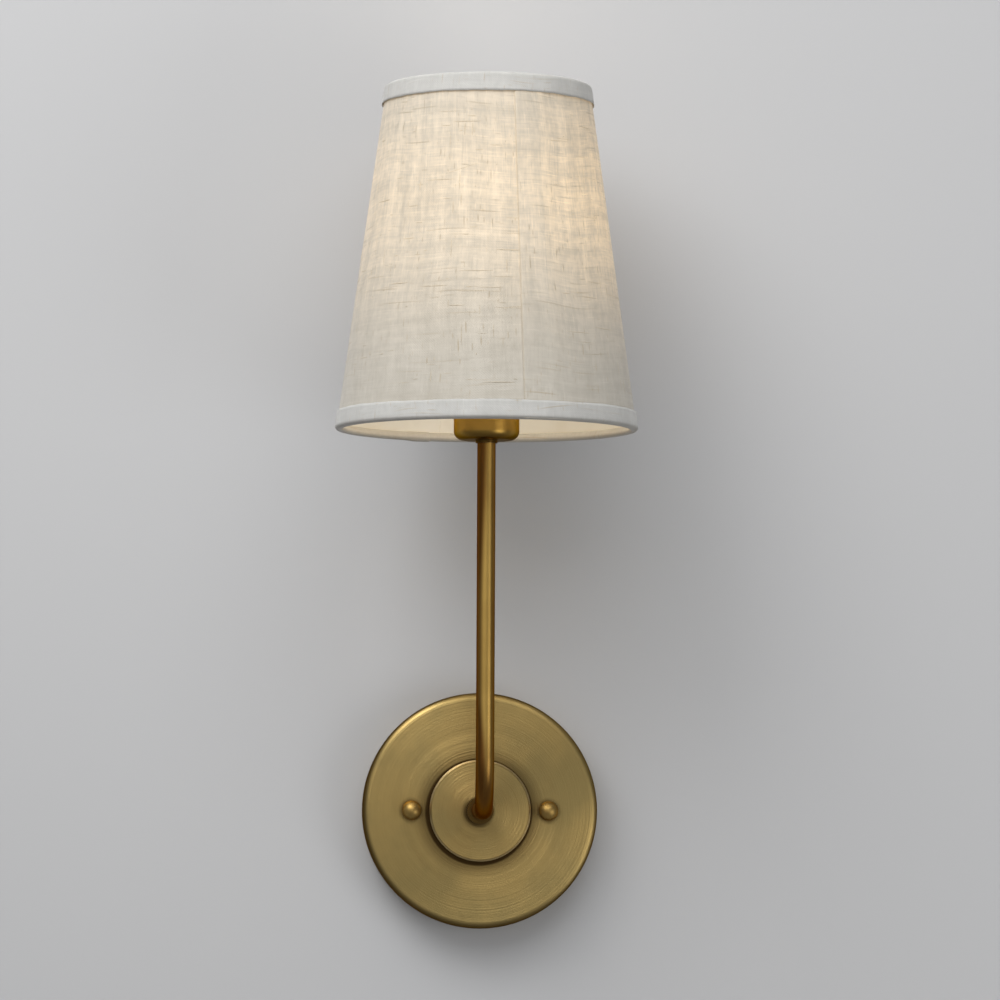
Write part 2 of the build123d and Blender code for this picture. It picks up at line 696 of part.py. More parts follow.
def make_trim(edge, inward, ring_radius):
    """Tape folded over one edge of the shade and round its ring wire.

    edge is the height of the shade's edge and inward is +1 when the shade rises from it.
    """
    fold = edge + inward * TRIM_THICKNESS
    band = edge + inward * TRIM_WIDTH
    wire_end = fold + inward * (RING_WIRE_DIAMETER - SPOKE_WELD / 2 - TRIM_SPOKE_CLEARANCE)
    wire_inner = ring_radius - RING_WIRE_DIAMETER / 2
    outline = [
        (shade_radius(edge), edge),
        (shade_radius(band), band),
        (shade_radius(band) - TRIM_THICKNESS, band),
        (shade_radius(fold) - TRIM_THICKNESS, fold),
        (wire_inner, fold),
        (wire_inner, wire_end),
        (wire_inner - TRIM_THICKNESS, wire_end),
        (wire_inner - TRIM_THICKNESS, edge),
    ]
    return on_lamp_axis(turned(outline))


# ------------------------------------------------------------- lamp
def neck_slope():
    """Slope of the lamp's neck, the line from the neck's top that is tangent to the dome."""
    neck = LAMP_NECK_DIAMETER / 2
    rise = lamp_centre - (base_top + LAMP_NECK_HEIGHT)
    reach = math.hypot(neck, rise)
    return math.asin(lamp_radius / reach) - math.atan2(neck, rise)


def lamp_radius_at(height):
    """Outer radius of the lamp's neck at a height below the tangent point."""
    return LAMP_NECK_DIAMETER / 2 + (height - base_top - LAMP_NECK_HEIGHT) * math.tan(neck_slope())


def make_tip_contact():
    radius = LAMP_TIP_DIAMETER / 2
    top = lamp_tip + LAMP_TIP_HEIGHT
    outline = [(0, lamp_tip), (LAMP_TIP_FLAT_DIAMETER / 2, lamp_tip), (radius, top), (0, top)]
    return on_lamp_axis(turned(outline))


def make_insulator():
    bottom = lamp_tip + LAMP_TIP_HEIGHT
    edge = LAMP_THREAD_ROOT / 2 - LAMP_BASE_SHEET
    outline = [(0, bottom), (LAMP_TIP_DIAMETER / 2, bottom), (edge, base_bottom), (0, base_bottom)]
    return on_lamp_axis(turned(outline))


def make_base_shell():
    """Rolled screw shell, its thread drawn as closed ridges at the thread's pitch."""
    crest = LAMP_THREAD_CREST / 2
    root = LAMP_THREAD_ROOT / 2
    inner = root - LAMP_BASE_SHEET
    outline = [(inner, base_bottom), (root, base_bottom)]
    for turn in range(LAMP_THREAD_TURNS):
        low = base_bottom + turn * LAMP_THREAD_PITCH
        outline += [
            (crest, low + (LAMP_THREAD_PITCH - LAMP_CREST_WIDTH) / 2),
            (crest, low + (LAMP_THREAD_PITCH + LAMP_CREST_WIDTH) / 2),
            (root, low + LAMP_THREAD_PITCH),
        ]
    outline += [(root, base_top), (inner, base_top)]
    return on_lamp_axis(turned(outline))


def make_lamp_housing():
    neck_top = base_top + LAMP_NECK_HEIGHT
    neck = LAMP_NECK_DIAMETER / 2
    outline = [
        (neck - LAMP_WALL, base_top),
        (neck, base_top),
        (neck, neck_top),
        (lamp_radius_at(lamp_split), lamp_split),
        (lamp_radius_at(lamp_split) - LAMP_WALL, lamp_split),
        (neck - LAMP_WALL, neck_top),
    ]
    return on_lamp_axis(turned(outline))


def make_lamp_dome():
    """Frosted dome: the neck's slope carried on to a ball, as one thin wall."""
    slope = neck_slope()

    def solid_of(radius):
        tangent = (radius * math.cos(slope), lamp_centre - radius * math.sin(slope))
        foot = (tangent[0] - (tangent[1] - lamp_split) * math.tan(slope), lamp_split)
        side = Line(foot, tangent)
        crown = RadiusArc(tangent, (0, lamp_centre + radius), -radius)
        axis = Line((0, lamp_centre + radius), (0, lamp_split))
        base = Line((0, lamp_split), foot)
        return revolve(Plane.XZ * make_face(Wire([side, crown, axis, base])), Axis.Z)

    return on_lamp_axis(solid_of(lamp_radius) - solid_of(lamp_radius - LAMP_WALL))


def led_board_radius():
    return lamp_radius_at(lamp_split - LED_BOARD_SHEET) - LAMP_WALL - LED_BOARD_CLEARANCE


def make_led_board():
    return on_lamp_axis(ring(0, led_board_radius(), lamp_split - LED_BOARD_SHEET, lamp_split))


def make_led_chips():
    chip = Box(LED_SIZE, LED_SIZE, LED_HEIGHT, align=(Align.CENTER, Align.CENTER, Align.MIN))
    chips = []
    for place in PolarLocations(LED_CIRCLE_DIAMETER / 2, LED_COUNT):
        chips.append(on_lamp_axis(Pos(0, 0, lamp_split) * place * chip))
    return chips


def make_driver_board():
    board = Box(DRIVER_WIDTH, DRIVER_SHEET, DRIVER_HEIGHT, align=(Align.CENTER, Align.CENTER, Align.MAX))
    return on_lamp_axis(Pos(0, 0, lamp_split - LED_BOARD_SHEET) * board)


def main():
    os.makedirs("parts", exist_ok=True)
    pieces = {
        "backplate": make_backplate(),
        "centre_disc": make_centre_disc(),
        "arm_root_collar": make_root_collar(),
        "arm_tube": make_arm_tube(),
        "arm_lock_washer": make_lock_washer(),
        "arm_lock_nut": make_lock_nut(),
        "ground_lug": make_ground_lug(),
        "lead_bushing": make_lead_bushing(),
        "crossbar": make_crossbar(),
        "mounting_studs": Compound(make_mounting_studs()),
        "stud_nuts": Compound(make_stud_nuts()),
        "ball_knob_left": make_ball_knob(-1),
        "ball_knob_right": make_ball_knob(1),
        "ground_screw": make_ground_screw(),
        "ground_lead": make_ground_lead(),
        "live_lead": make_mains_lead(1),
        "neutral_lead": make_mains_lead(-1),
        "wire_connectors": Compound(make_wire_connectors()),
        "neck_collar": make_neck_collar(),
        "socket_cup": make_socket_cup(),
        "cup_nut": make_cup_nut(),
        "socket_cap": make_socket_cap(),
        "socket_shell": make_socket_shell(),
        "socket_insert": make_socket_insert(),
        "screw_shell": make_screw_shell(),
        "centre_contact": make_centre_contact(),
        "terminal_screws": Compound(make_terminal_screws()),
        "shade_ring_nut": make_shade_ring_nut(),
        "fitter_ring": make_fitter_ring(),
        "shade_spokes": Compound(make_shade_spokes()),
        "bottom_ring_wire": make_ring_wire(bottom_ring_radius, bottom_ring_z),
        "top_ring_wire": make_ring_wire(top_ring_radius, top_ring_z),
        "linen_cover": skin_between(TRIM_THICKNESS, LINEN_THICKNESS),
        "shade_liner": skin_between(TRIM_THICKNESS + LINEN_THICKNESS, LINER_THICKNESS),
        "bottom_trim": make_trim(SHADE_BOTTOM_Z, 1, bottom_ring_radius),
        "top_trim": make_trim(shade_top, -1, top_ring_radius),
        "bulb_tip_contact": make_tip_contact(),
        "bulb_insulator": make_insulator(),
        "bulb_base_shell": make_base_shell(),
        "bulb_housing": make_lamp_housing(),
        "bulb_driver_board": make_driver_board(),
        "bulb_led_board": make_led_board(),
        "bulb_led_chips": Compound(make_led_chips()),
        "bulb_dome": make_lamp_dome(),
    }
    for node, shape in pieces.items():
        save(shape, node)
    print(len(pieces), "pieces written")


main()
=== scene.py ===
# %% [markdown]
# # A wall light with a linen shade
# The light hangs on a wall: a round brass backplate, a bent tube that stands up from it, and a
# linen shade round a lit lamp. The metal and plastic pieces arrive as fixed solids. This script
# gives each of them its finish, and makes the cloth, the folded tapes and the inner skin of the
# shade as meshes of their own. Everything is in metres: X right, Y into the wall, Z up.

# %% Load the fixed frame
import math
import bpy
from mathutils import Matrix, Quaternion, Vector


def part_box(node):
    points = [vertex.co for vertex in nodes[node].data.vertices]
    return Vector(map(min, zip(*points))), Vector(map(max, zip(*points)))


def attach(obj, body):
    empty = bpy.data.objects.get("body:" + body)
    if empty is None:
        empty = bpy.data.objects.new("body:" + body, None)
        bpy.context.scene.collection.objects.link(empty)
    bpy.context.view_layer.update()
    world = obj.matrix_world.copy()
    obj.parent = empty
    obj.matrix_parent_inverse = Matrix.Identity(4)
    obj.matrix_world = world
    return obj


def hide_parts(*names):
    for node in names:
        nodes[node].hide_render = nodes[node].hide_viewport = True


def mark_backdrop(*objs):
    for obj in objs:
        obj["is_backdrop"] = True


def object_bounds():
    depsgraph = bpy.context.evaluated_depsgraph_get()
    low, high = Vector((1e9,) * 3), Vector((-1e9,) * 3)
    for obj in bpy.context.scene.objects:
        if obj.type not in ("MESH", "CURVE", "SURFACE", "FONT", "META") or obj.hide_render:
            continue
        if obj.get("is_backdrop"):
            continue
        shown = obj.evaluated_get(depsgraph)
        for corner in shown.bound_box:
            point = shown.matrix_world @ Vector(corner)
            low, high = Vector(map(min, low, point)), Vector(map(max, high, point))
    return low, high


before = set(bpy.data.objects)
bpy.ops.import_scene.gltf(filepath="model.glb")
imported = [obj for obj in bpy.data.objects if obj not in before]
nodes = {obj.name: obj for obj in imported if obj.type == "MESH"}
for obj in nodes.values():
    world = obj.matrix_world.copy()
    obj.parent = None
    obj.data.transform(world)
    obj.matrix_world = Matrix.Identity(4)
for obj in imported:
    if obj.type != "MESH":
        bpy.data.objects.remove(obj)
solid_box = [list(corner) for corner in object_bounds()]
MM = 0.001

# %% [markdown]
# ## Camera
# The photograph was taken with a long lens from a little below and a hair to the left of the
# light, so the camera is placed by a distance and two angles round a point between the shade
# and the backplate. A small roll leans the whole picture, as a camera held by hand does.

# %% Camera
CAMERA_AIM = Vector((8.3, -59.8, 157.2)) * MM
CAMERA_DISTANCE = 2.40
CAMERA_AZIMUTH = math.radians(-2.05)
CAMERA_ELEVATION = math.radians(-3.81)
CAMERA_ROLL = math.radians(0.26)
CAMERA_LENS_MM = 170.4
SENSOR_MM = 36.0

camera_data = bpy.data.cameras.new("camera")
camera = bpy.data.objects.new("camera", camera_data)
bpy.context.scene.collection.objects.link(camera)
bpy.context.scene.camera = camera
camera_data.lens = CAMERA_LENS_MM
camera_data.sensor_width = SENSOR_MM
back = Vector((
    math.sin(CAMERA_AZIMUTH) * math.cos(CAMERA_ELEVATION),
    -math.cos(CAMERA_AZIMUTH) * math.cos(CAMERA_ELEVATION),
    math.sin(CAMERA_ELEVATION),
))
camera.location = CAMERA_AIM + back * CAMERA_DISTANCE
camera.rotation_mode = "QUATERNION"
camera.rotation_quaternion = (-back).to_track_quat("-Z", "Y") @ Quaternion((0, 0, 1), CAMERA_ROLL)
print("camera at", [round(value, 3) for value in camera.location])

# %% [markdown]
# ## A small language for node trees
# A finish or a shape that varies needs arithmetic on sockets. Wiring Math nodes by hand is slow
# to read, so one class wraps a socket and answers +, -, *, / and ** with a new Math node. A
# second class wraps a tree and adds any other node from its type, its settings and its inputs.
# The same two classes serve material trees and Geometry Nodes trees.


# %% Sockets that do arithmetic
class Number:
    """One output socket; arithmetic on it adds Math nodes to its tree."""

    def __init__(self, graph, socket):
        self.graph = graph
        self.socket = socket

    def math(self, operation, *values):
        inputs = dict(enumerate((self, *values)))
        return self.graph.node("ShaderNodeMath", {"operation": operation}, inputs)

    def __add__(self, other):
        return self.math("ADD", other)

    def __sub__(self, other):
        return self.math("SUBTRACT", other)

    def __mul__(self, other):
        return self.math("MULTIPLY", other)

    def __truediv__(self, other):
        return self.math("DIVIDE", other)

    def __pow__(self, other):
        return self.math("POWER", other)

    def __rsub__(self, other):
        return self.graph.node("ShaderNodeMath", {"operation": "SUBTRACT"}, {0: other, 1: self})

    def __rtruediv__(self, other):
        return self.graph.node("ShaderNodeMath", {"operation": "DIVIDE"}, {0: other, 1: self})

    __radd__ = __add__
    __rmul__ = __mul__

    def step(self, low, high, start=0.0, end=1.0):
        """Smooth change from start to end as this value goes from low to high."""
        settings = {"interpolation_type": "SMOOTHSTEP"}
        inputs = {"Value": self, "From Min": low, "From Max": high, "To Min": start, "To Max": end}
        return self.graph.node("ShaderNodeMapRange", settings, inputs)

    def spread(self):
        """Noise stretched to run from 0 to 1: it seldom leaves 0.3 to 0.7 by itself."""
        return self.step(0.3, 0.7)

    def sine(self):
        return self.math("SINE")

    def cosine(self):
        return self.math("COSINE")


class Graph:
    """A node tree that is being built."""

    def __init__(self, tree):
        self.tree = tree

    def plug(self, value, socket):
        if isinstance(value, Number):
            self.tree.links.new(value.socket, socket)
        else:
            socket.default_value = value

    def node(self, kind, settings=None, inputs=None, output=0):
        made = self.tree.nodes.new(kind)
        for name, value in (settings or {}).items():
            setattr(made, name, value)
        for key, value in (inputs or {}).items():
            self.plug(value, made.inputs[key])
        return Number(self, made.outputs[output])

    def also(self, number, output):
        """Another output of the node that a number comes from."""
        return Number(self, number.socket.node.outputs[output])

    def split(self, vector):
        x = self.node("ShaderNodeSeparateXYZ", None, {0: vector})
        return x, self.also(x, 1), self.also(x, 2)

    def join(self, x, y, z):
        return self.node("ShaderNodeCombineXYZ", None, {0: x, 1: y, 2: z})

    def vector(self, operation, *values, output=0):
        inputs = dict(enumerate(values))
        return self.node("ShaderNodeVectorMath", {"operation": operation}, inputs, output)

    def scaled(self, vector, factor):
        inputs = {0: vector, "Scale": factor}
        return self.node("ShaderNodeVectorMath", {"operation": "SCALE"}, inputs)

    def length(self, vector):
        return self.vector("LENGTH", vector, output="Value")

    def noise(self, vector, scale=1.0, detail=2.0):
        inputs = {"Vector": vector, "Scale": scale, "Detail": detail}
        return self.node("ShaderNodeTexNoise", None, inputs)

    def mix(self, factor, first, second):
        """Colour between first and second."""
        inputs = {0: factor, 6: first, 7: second}
        return self.node("ShaderNodeMix", {"data_type": "RGBA"}, inputs, output=2)


class Finish(Graph):
    """A material with one Principled shader. Constants go straight onto its sockets."""

    def __init__(self, name):
        self.material = bpy.data.materials.new(name)
        self.material.use_nodes = True
        super().__init__(self.material.node_tree)
        self.shader = self.tree.nodes["Principled BSDF"]

    def set(self, **values):
        for name, value in values.items():
            self.plug(value, self.shader.inputs[name.replace("_", " ")])

    def place(self):
        """Object coordinates, in metres from the shared origin."""
        return self.node("ShaderNodeTexCoord", None, None, output="Object")

    def height(self):
        """How high a spot is above the shared origin, in metres."""
        return self.split(self.place())[2]

    def flat(self):
        """The piece's own cloth coordinates, in metres along and across its threads."""
        return self.node("ShaderNodeUVMap", {"uv_map": "threads"})

    def bump(self, height, distance, strength):
        inputs = {"Height": height, "Distance": distance, "Strength": strength}
        self.set(Normal=self.node("ShaderNodeBump", None, inputs))


def shades(red, green, blue):
    return (red, green, blue, 1.0)


def dress(names, material):
    """Give CAD nodes a finish through their material slots."""
    for name in names:
        mesh = nodes[name].data
        mesh.materials.clear()
        mesh.materials.append(material)
    print(material.name, "on", ", ".join(names))


BLACK = shades(0.0, 0.0, 0.0)
print("classes ready:", Number.__name__, Graph.__name__, Finish.__name__)

# %% [markdown]
# ## Places taken from the frame
# The wall axis runs out of the middle of the backplate. The lamp axis stands upright at the end
# of the arm. The shade's edges come from its two tapes, so the cloth made here fits the solids.

# %% Places
TAPE_THICKNESS = 0.5 * MM
CLOTH_THICKNESS = 0.4 * MM
LINER_THICKNESS = 0.4 * MM
WIRE_RADIUS = 1.0 * MM
GLOW_SHARE_OF_DOME = 0.58


def half_width(name):
    """Half of a solid's width from left to right, which is a round one's radius."""
    low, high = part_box(name)
    return (high[0] - low[0]) / 2


def middle(name, axis):
    low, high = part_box(name)
    return (low[axis] + high[axis]) / 2


plate_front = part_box("backplate")[0][1]
disc_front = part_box("centre_disc")[0][1]
cup_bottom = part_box("socket_cup")[0][2]
dome_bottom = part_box("bulb_dome")[0][2]
dome_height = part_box("bulb_dome")[1][2] - dome_bottom
shade_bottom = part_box("bottom_trim")[0][2]
shade_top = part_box("top_trim")[1][2]
top_tape_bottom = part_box("top_trim")[0][2]
bottom_radius = half_width("bottom_trim")
shade_slope = (bottom_radius - half_width("top_trim")) / (top_tape_bottom - shade_bottom)
lamp_axis_y = middle("linen_cover", 1)
lamp_glow_height = dome_bottom + GLOW_SHARE_OF_DOME * dome_height


def shade_radius(height):
    """Outer radius of the finished shade."""
    return bottom_radius - shade_slope * (height - shade_bottom)


print("shade from", round(shade_bottom, 4), "to", round(shade_top, 4))
print("radii", round(bottom_radius, 4), "and", round(shade_radius(shade_top), 4))

# %% [markdown]
# ## Antique brass
# Every outside metal piece is brass that was darkened and then rubbed back, so it is gold where
# a cloth reaches and brown in the corners. Part of that brown is painted shade and painted dark
# reflection, on feet, sides and bends. The plate and the disc were turned on a lathe. The
# lathe leaves rings too fine to see one by one, but together they spread a highlight along the
# radius, which shows as two opposite light sectors. Here a fine noise along the radius tips the
# normal the same way. The cup was turned about the upright axis, so its normals tip up and down.
# The tube was polished lengthwise, so its normals tip a little to the sides.

# %% Brass and its grain
PLATE_GOLD = (shades(0.455, 0.320, 0.118), shades(0.355, 0.262, 0.102))
KNOB_GOLD = (shades(0.47, 0.312, 0.098), shades(0.37, 0.245, 0.080))
TUBE_GOLD = (shades(0.57, 0.365, 0.100), shades(0.47, 0.295, 0.080))
CUP_GOLD = (shades(0.460, 0.275, 0.062), shades(0.400, 0.240, 0.055))
# Brown of the patina; the masks below also use it for painted shade.
BRASS_BROWN = shades(0.050, 0.026, 0.008)
TUBE_BROWN = shades(0.110, 0.032, 0.005)
BRASS_WORN = shades(0.66, 0.53, 0.30)
BRASS_GLANCING = shades(0.60, 0.46, 0.28)
TUBE_GLANCING = shades(0.52, 0.36, 0.18)
FINE_LINES_PER_METRE = 7000.0
COARSE_LINES_PER_METRE = 700.0
HAND_RUB_PER_METRE = 30.0
COARSE_LINES_BROWN = 0.04
LINES_DULL = 0.04
RUB_DULL = 0.12
SATIN = 0.34


def brass(name, gold, grain, patina_and_shade, tipping, roughness=SATIN, edge=None, brown=BRASS_BROWN,
          glancing=BRASS_GLANCING):
    """Rubbed brass. grain: a place across the tool's lines and their tip; patina_and_shade: brown,
    partly painted shade.
    """
    finish = Finish(name)
    place = finish.place()
    across, tip = grain(finish, place)
    fine = finish.noise(finish.join(across * FINE_LINES_PER_METRE, 0.0, 0.0), detail=1.0)
    fine = fine.spread() - 0.5
    coarse = finish.noise(finish.join(across * COARSE_LINES_PER_METRE, 0.0, 0.0), detail=2.0)
    rub = finish.noise(place, HAND_RUB_PER_METRE, detail=3.0)
    normal = finish.node("ShaderNodeNewGeometry", None, None, output="Normal")
    tipped = finish.vector("ADD", normal, finish.scaled(tip, fine * tipping))
    finish.set(Normal=finish.vector("NORMALIZE", tipped))
    worn = finish.mix(rub.step(0.35, 0.65), gold[0], gold[1])
    turned = finish.mix(coarse.step(0.35, 0.75) * COARSE_LINES_BROWN, worn, brown)
    if edge:
        turned = finish.mix(edge(finish, place), turned, BRASS_WORN)
    # The mask mixes in brown: patina, and painted shade where shade falls.
    finish.set(Base_Color=finish.mix(patina_and_shade(finish, place), turned, brown))
    finish.set(Metallic=1.0, Specular_Tint=glancing)
    finish.set(Roughness=fine * LINES_DULL + (rub - 0.5) * RUB_DULL + roughness)
    return finish.material


def on_wall(finish, x, z):
    """Distance over the wall's face, from a way to the right and a way up."""
    return finish.length(finish.join(x, 0.0, z))


def rings_on_wall(finish, place):
    x, y, z = finish.split(place)
    return on_wall(finish, x, z), finish.vector("NORMALIZE", finish.join(x, 0.0, z))


def rings_on_lamp_axis(finish, place):
    return finish.split(place)[2], finish.join(0.0, 0.0, 1.0)


def lines_along_tube(finish, place):
    return finish.split(place)[0], finish.join(1.0, 0.0, 0.0)


print("brass runs from", PLATE_GOLD[0][:3], "to", BRASS_BROWN[:3])

# %% [markdown]
# ### Patina and painted shade on the plate and the disc
# The brown is partly patina, which stays where a polishing cloth can't press, and partly painted
# shade: at the foot of the disc, of the knobs and of the arm, and on the sides that face away.
# Each zone below is one smooth step along a distance: where it starts, where it ends, and the
# share of brown at its start and its end. The zones' middles lie a little off the axis, so the
# painted shade is broader low on the left.

# %% Plate and disc
DISC_RADIUS = half_width("centre_disc")
PLATE_RADIUS = half_width("backplate")
KNOB_X = middle("ball_knob_right", 0)
# These offsets move the zones' middles, so the painted shade is broader low on the left.
DISC_FOOT_AT = (-0.5 * MM, -0.7 * MM)
PLATE_SIDE_AT = (0.4 * MM, 0.4 * MM)
ARM_FOOT_AT = (-1.2 * MM, -0.6 * MM)
CREVICE = (DISC_RADIUS + 0.8 * MM, DISC_RADIUS + 2.9 * MM, 0.97, 0.0)
HALO = (DISC_RADIUS + 1.0 * MM, DISC_RADIUS + 9.0 * MM, 0.52, 0.0)
KNOB_FOOT = (3.6 * MM, 7.5 * MM, 0.75, 0.0)
PLATE_SIDE = (PLATE_RADIUS - 2.9 * MM, PLATE_RADIUS + 0.3 * MM)
# Painted shade on the plate's side, where it faces away.
PLATE_SIDE_SHADE = (plate_front + 4.0 * MM, plate_front + 11.0 * MM, 0.90, 0.50)
ARM_FOOT = (5.6 * MM, 9.4 * MM, 0.92, 0.0)
DISC_SIDE = (disc_front + 1.0 * MM, disc_front + 1.8 * MM, 0.0, 0.92)
DISC_RIM = (DISC_RADIUS - 1.1 * MM, DISC_RADIUS - 0.5 * MM, 0.0, 0.6)


def plate_patina_and_shade(finish, place):
    """Patina and painted shade at the feet of the disc and the knobs; painted shade on the side,
    less so near the wall.
    """
    x, y, z = finish.split(place)
    from_disc = on_wall(finish, x - DISC_FOOT_AT[0], z - DISC_FOOT_AT[1])
    from_middle = on_wall(finish, x - PLATE_SIDE_AT[0], z - PLATE_SIDE_AT[1])
    from_knob = on_wall(finish, x.math("ABSOLUTE") - KNOB_X, z)
    foot = from_disc.step(*CREVICE).math("MAXIMUM", from_disc.step(*HALO))
    side = from_middle.step(*PLATE_SIDE) * y.step(*PLATE_SIDE_SHADE)
    return foot.math("MAXIMUM", side).math("MAXIMUM", from_knob.step(*KNOB_FOOT))


# Patina and painted shade round the arm's foot, and painted shade on the disc's side.
def disc_patina_and_shade(finish, place):
    x, y, z = finish.split(place)
    from_arm = on_wall(finish, x - ARM_FOOT_AT[0], z - ARM_FOOT_AT[1])
    return from_arm.step(*ARM_FOOT).math("MAXIMUM", y.step(*DISC_SIDE))


def disc_edge(finish, place):
    """The disc's chamfer, which the cloth has worn bright."""
    x, y, z = finish.split(place)
    return on_wall(finish, x, z).step(*DISC_RIM)


dress(["backplate"], brass("plate_brass", PLATE_GOLD, rings_on_wall, plate_patina_and_shade, tipping=0.72))
dress(["centre_disc"], brass("disc_brass", PLATE_GOLD, rings_on_wall, disc_patina_and_shade, tipping=0.78,
                             roughness=0.36, edge=disc_edge))

# %% [markdown]
# ### Painted shade on the tube, the cup and the small pieces
# On the tube the rubbed gold is a band that wanders up the front: a little to the right at the
# bend and again near the cup. Both sides are painted brown, a painted reflection of the dim room
# at the sides, and so is the bend, painted shade and a painted reflection of the dark floor. The
# cup has painted shade under its round bottom, the knobs at their back, and the collars are
# painted dark all over for the shade they sit in.

# %% Tube, cup, knobs and collars
TUBE_RADIUS = half_width("arm_tube")
DRIFT_AT_TOP = (95 * MM, 175 * MM, 0.0, 0.55 * TUBE_RADIUS)
DRIFT_AT_BEND = (18 * MM, 62 * MM, 0.65 * TUBE_RADIUS, 0.0)
TUBE_BEND = (0.0, 48 * MM, 0.88, 0.0)
TUBE_LEFT = (-0.95 * TUBE_RADIUS, -0.20 * TUBE_RADIUS, 0.86, 0.0)
TUBE_RIGHT = (0.25 * TUBE_RADIUS, 0.90 * TUBE_RADIUS, 0.0, 0.72)
CUP_BOTTOM = (cup_bottom, cup_bottom + 4.5 * MM, 0.80, 0.05)
KNOB_BACK = (plate_front - 6.0 * MM, plate_front - 0.5 * MM, 0.10, 0.90)
COLLAR_PAINTED_SHADE = 0.85


# Painted dark reflection on both sides of the tube, and painted shade on the bend.
def tube_painted_reflection_and_shade(finish, place):
    x, y, z = finish.split(place)
    drift = z.step(*DRIFT_AT_TOP) + z.step(*DRIFT_AT_BEND)
    sides = (x - drift).step(*TUBE_LEFT).math("MAXIMUM", x.step(*TUBE_RIGHT))
    return sides.math("MAXIMUM", z.step(*TUBE_BEND))


# Painted shade under the cup's round bottom.
def cup_painted_shade(finish, place):
    return finish.split(place)[2].step(*CUP_BOTTOM)


# Painted shade at the back of the knobs, towards the plate.
def knob_painted_shade(finish, place):
    return finish.split(place)[1].step(*KNOB_BACK)


# The collars are painted dark all over: painted shade.
def collar_painted_shade(finish, place):
    return COLLAR_PAINTED_SHADE


dress(["arm_root_collar"], brass("root_collar_brass", TUBE_GOLD, rings_on_wall, collar_painted_shade,
                                 tipping=0.1))
dress(["neck_collar"], brass("neck_collar_brass", TUBE_GOLD, rings_on_lamp_axis, collar_painted_shade,
                             tipping=0.1))
dress(["arm_tube"], brass("tube_brass", TUBE_GOLD, lines_along_tube, tube_painted_reflection_and_shade, tipping=0.06,
                          brown=TUBE_BROWN, glancing=TUBE_GLANCING))
dress(["socket_cup"], brass("cup_brass", CUP_GOLD, rings_on_lamp_axis, cup_painted_shade, tipping=0.4,
                            roughness=0.32))
dress(["ball_knob_left", "ball_knob_right"],
      brass("knob_brass", KNOB_GOLD, rings_on_wall, knob_painted_shade, tipping=0.08, roughness=0.44,
            brown=TUBE_BROWN))

# %% [markdown]
# ## Hardware behind the plate and in the socket
# These pieces are seen only from behind, from below or from above. Zinc plate has large soft
# crystals and fine scratches, moulded plastic has a slight orange-peel skin, and glazed ceramic
# is smooth and glossy. One short function makes each kind.

# %% Hardware finishes
ZINC_DULL = shades(0.40, 0.41, 0.42)
ZINC_BRIGHT = shades(0.58, 0.58, 0.57)
CRYSTALS_PER_METRE = 260.0
SCRATCHES_PER_METRE = (4000.0, 400.0, 250.0)
MOULDED_PEEL_PER_METRE = 1500.0
GLAZED_PEEL_PER_METRE = 300.0
TONE_PER_METRE = 45.0
TOOL_MARKS_PER_METRE = (700.0, 700.0, 4200.0)
TARNISH_PER_METRE = 120.0


def zinc(name):
    finish = Finish(name)
    place = finish.place()
    crystals = finish.noise(place, CRYSTALS_PER_METRE, detail=3.0)
    scratches = finish.noise(finish.vector("MULTIPLY", place, SCRATCHES_PER_METRE))
    finish.set(Base_Color=finish.mix(crystals.spread(), ZINC_DULL, ZINC_BRIGHT))
    finish.set(Metallic=1.0, Roughness=crystals * 0.25 + scratches * 0.15 + 0.18)
    finish.bump(scratches, distance=0.01 * MM, strength=0.4)
    return finish.material


def moulded(name, color, roughness, peel_per_metre):
    """Moulded or glazed: a slight orange peel and a little unevenness of tone."""
    finish = Finish(name)
    place = finish.place()
    peel = finish.noise(place, peel_per_metre)
    tone = finish.noise(place, TONE_PER_METRE)
    lighter = shades(*(min(1.0, channel * 1.25 + 0.01) for channel in color))
    finish.set(Base_Color=finish.mix(tone.spread(), shades(*color), lighter))
    finish.set(Roughness=(peel - 0.5) * 0.2 + roughness)
    finish.bump(peel, distance=0.02 * MM, strength=0.35)
    return finish.material


def bare_metal(name, color, roughness):
    finish = Finish(name)
    place = finish.place()
    marks = finish.noise(finish.vector("MULTIPLY", place, TOOL_MARKS_PER_METRE), detail=3.0)
    tarnish = finish.noise(place, TARNISH_PER_METRE, detail=3.0)
    darker = shades(*(channel * 0.62 for channel in color))
    finish.set(Base_Color=finish.mix(tarnish.step(0.4, 0.8), shades(*color), darker))
    finish.set(Metallic=1.0, Roughness=(marks - 0.5) * 0.25 + roughness)
    finish.bump(marks, distance=0.01 * MM, strength=0.3)
    return finish.material


dress(["arm_lock_washer", "arm_lock_nut", "ground_lug", "crossbar", "mounting_studs",
       "stud_nuts", "cup_nut"], zinc("zinc_plate"))

# %% [markdown]
# ### Which piece wears what
# A table gives each finish its name, its colour, its roughness and the pieces that wear it. The
# leads have the colours that a fitter expects: black for live, white for neutral and green for
# earth. The shade's wires are enamelled white, so that they don't show through the cloth.

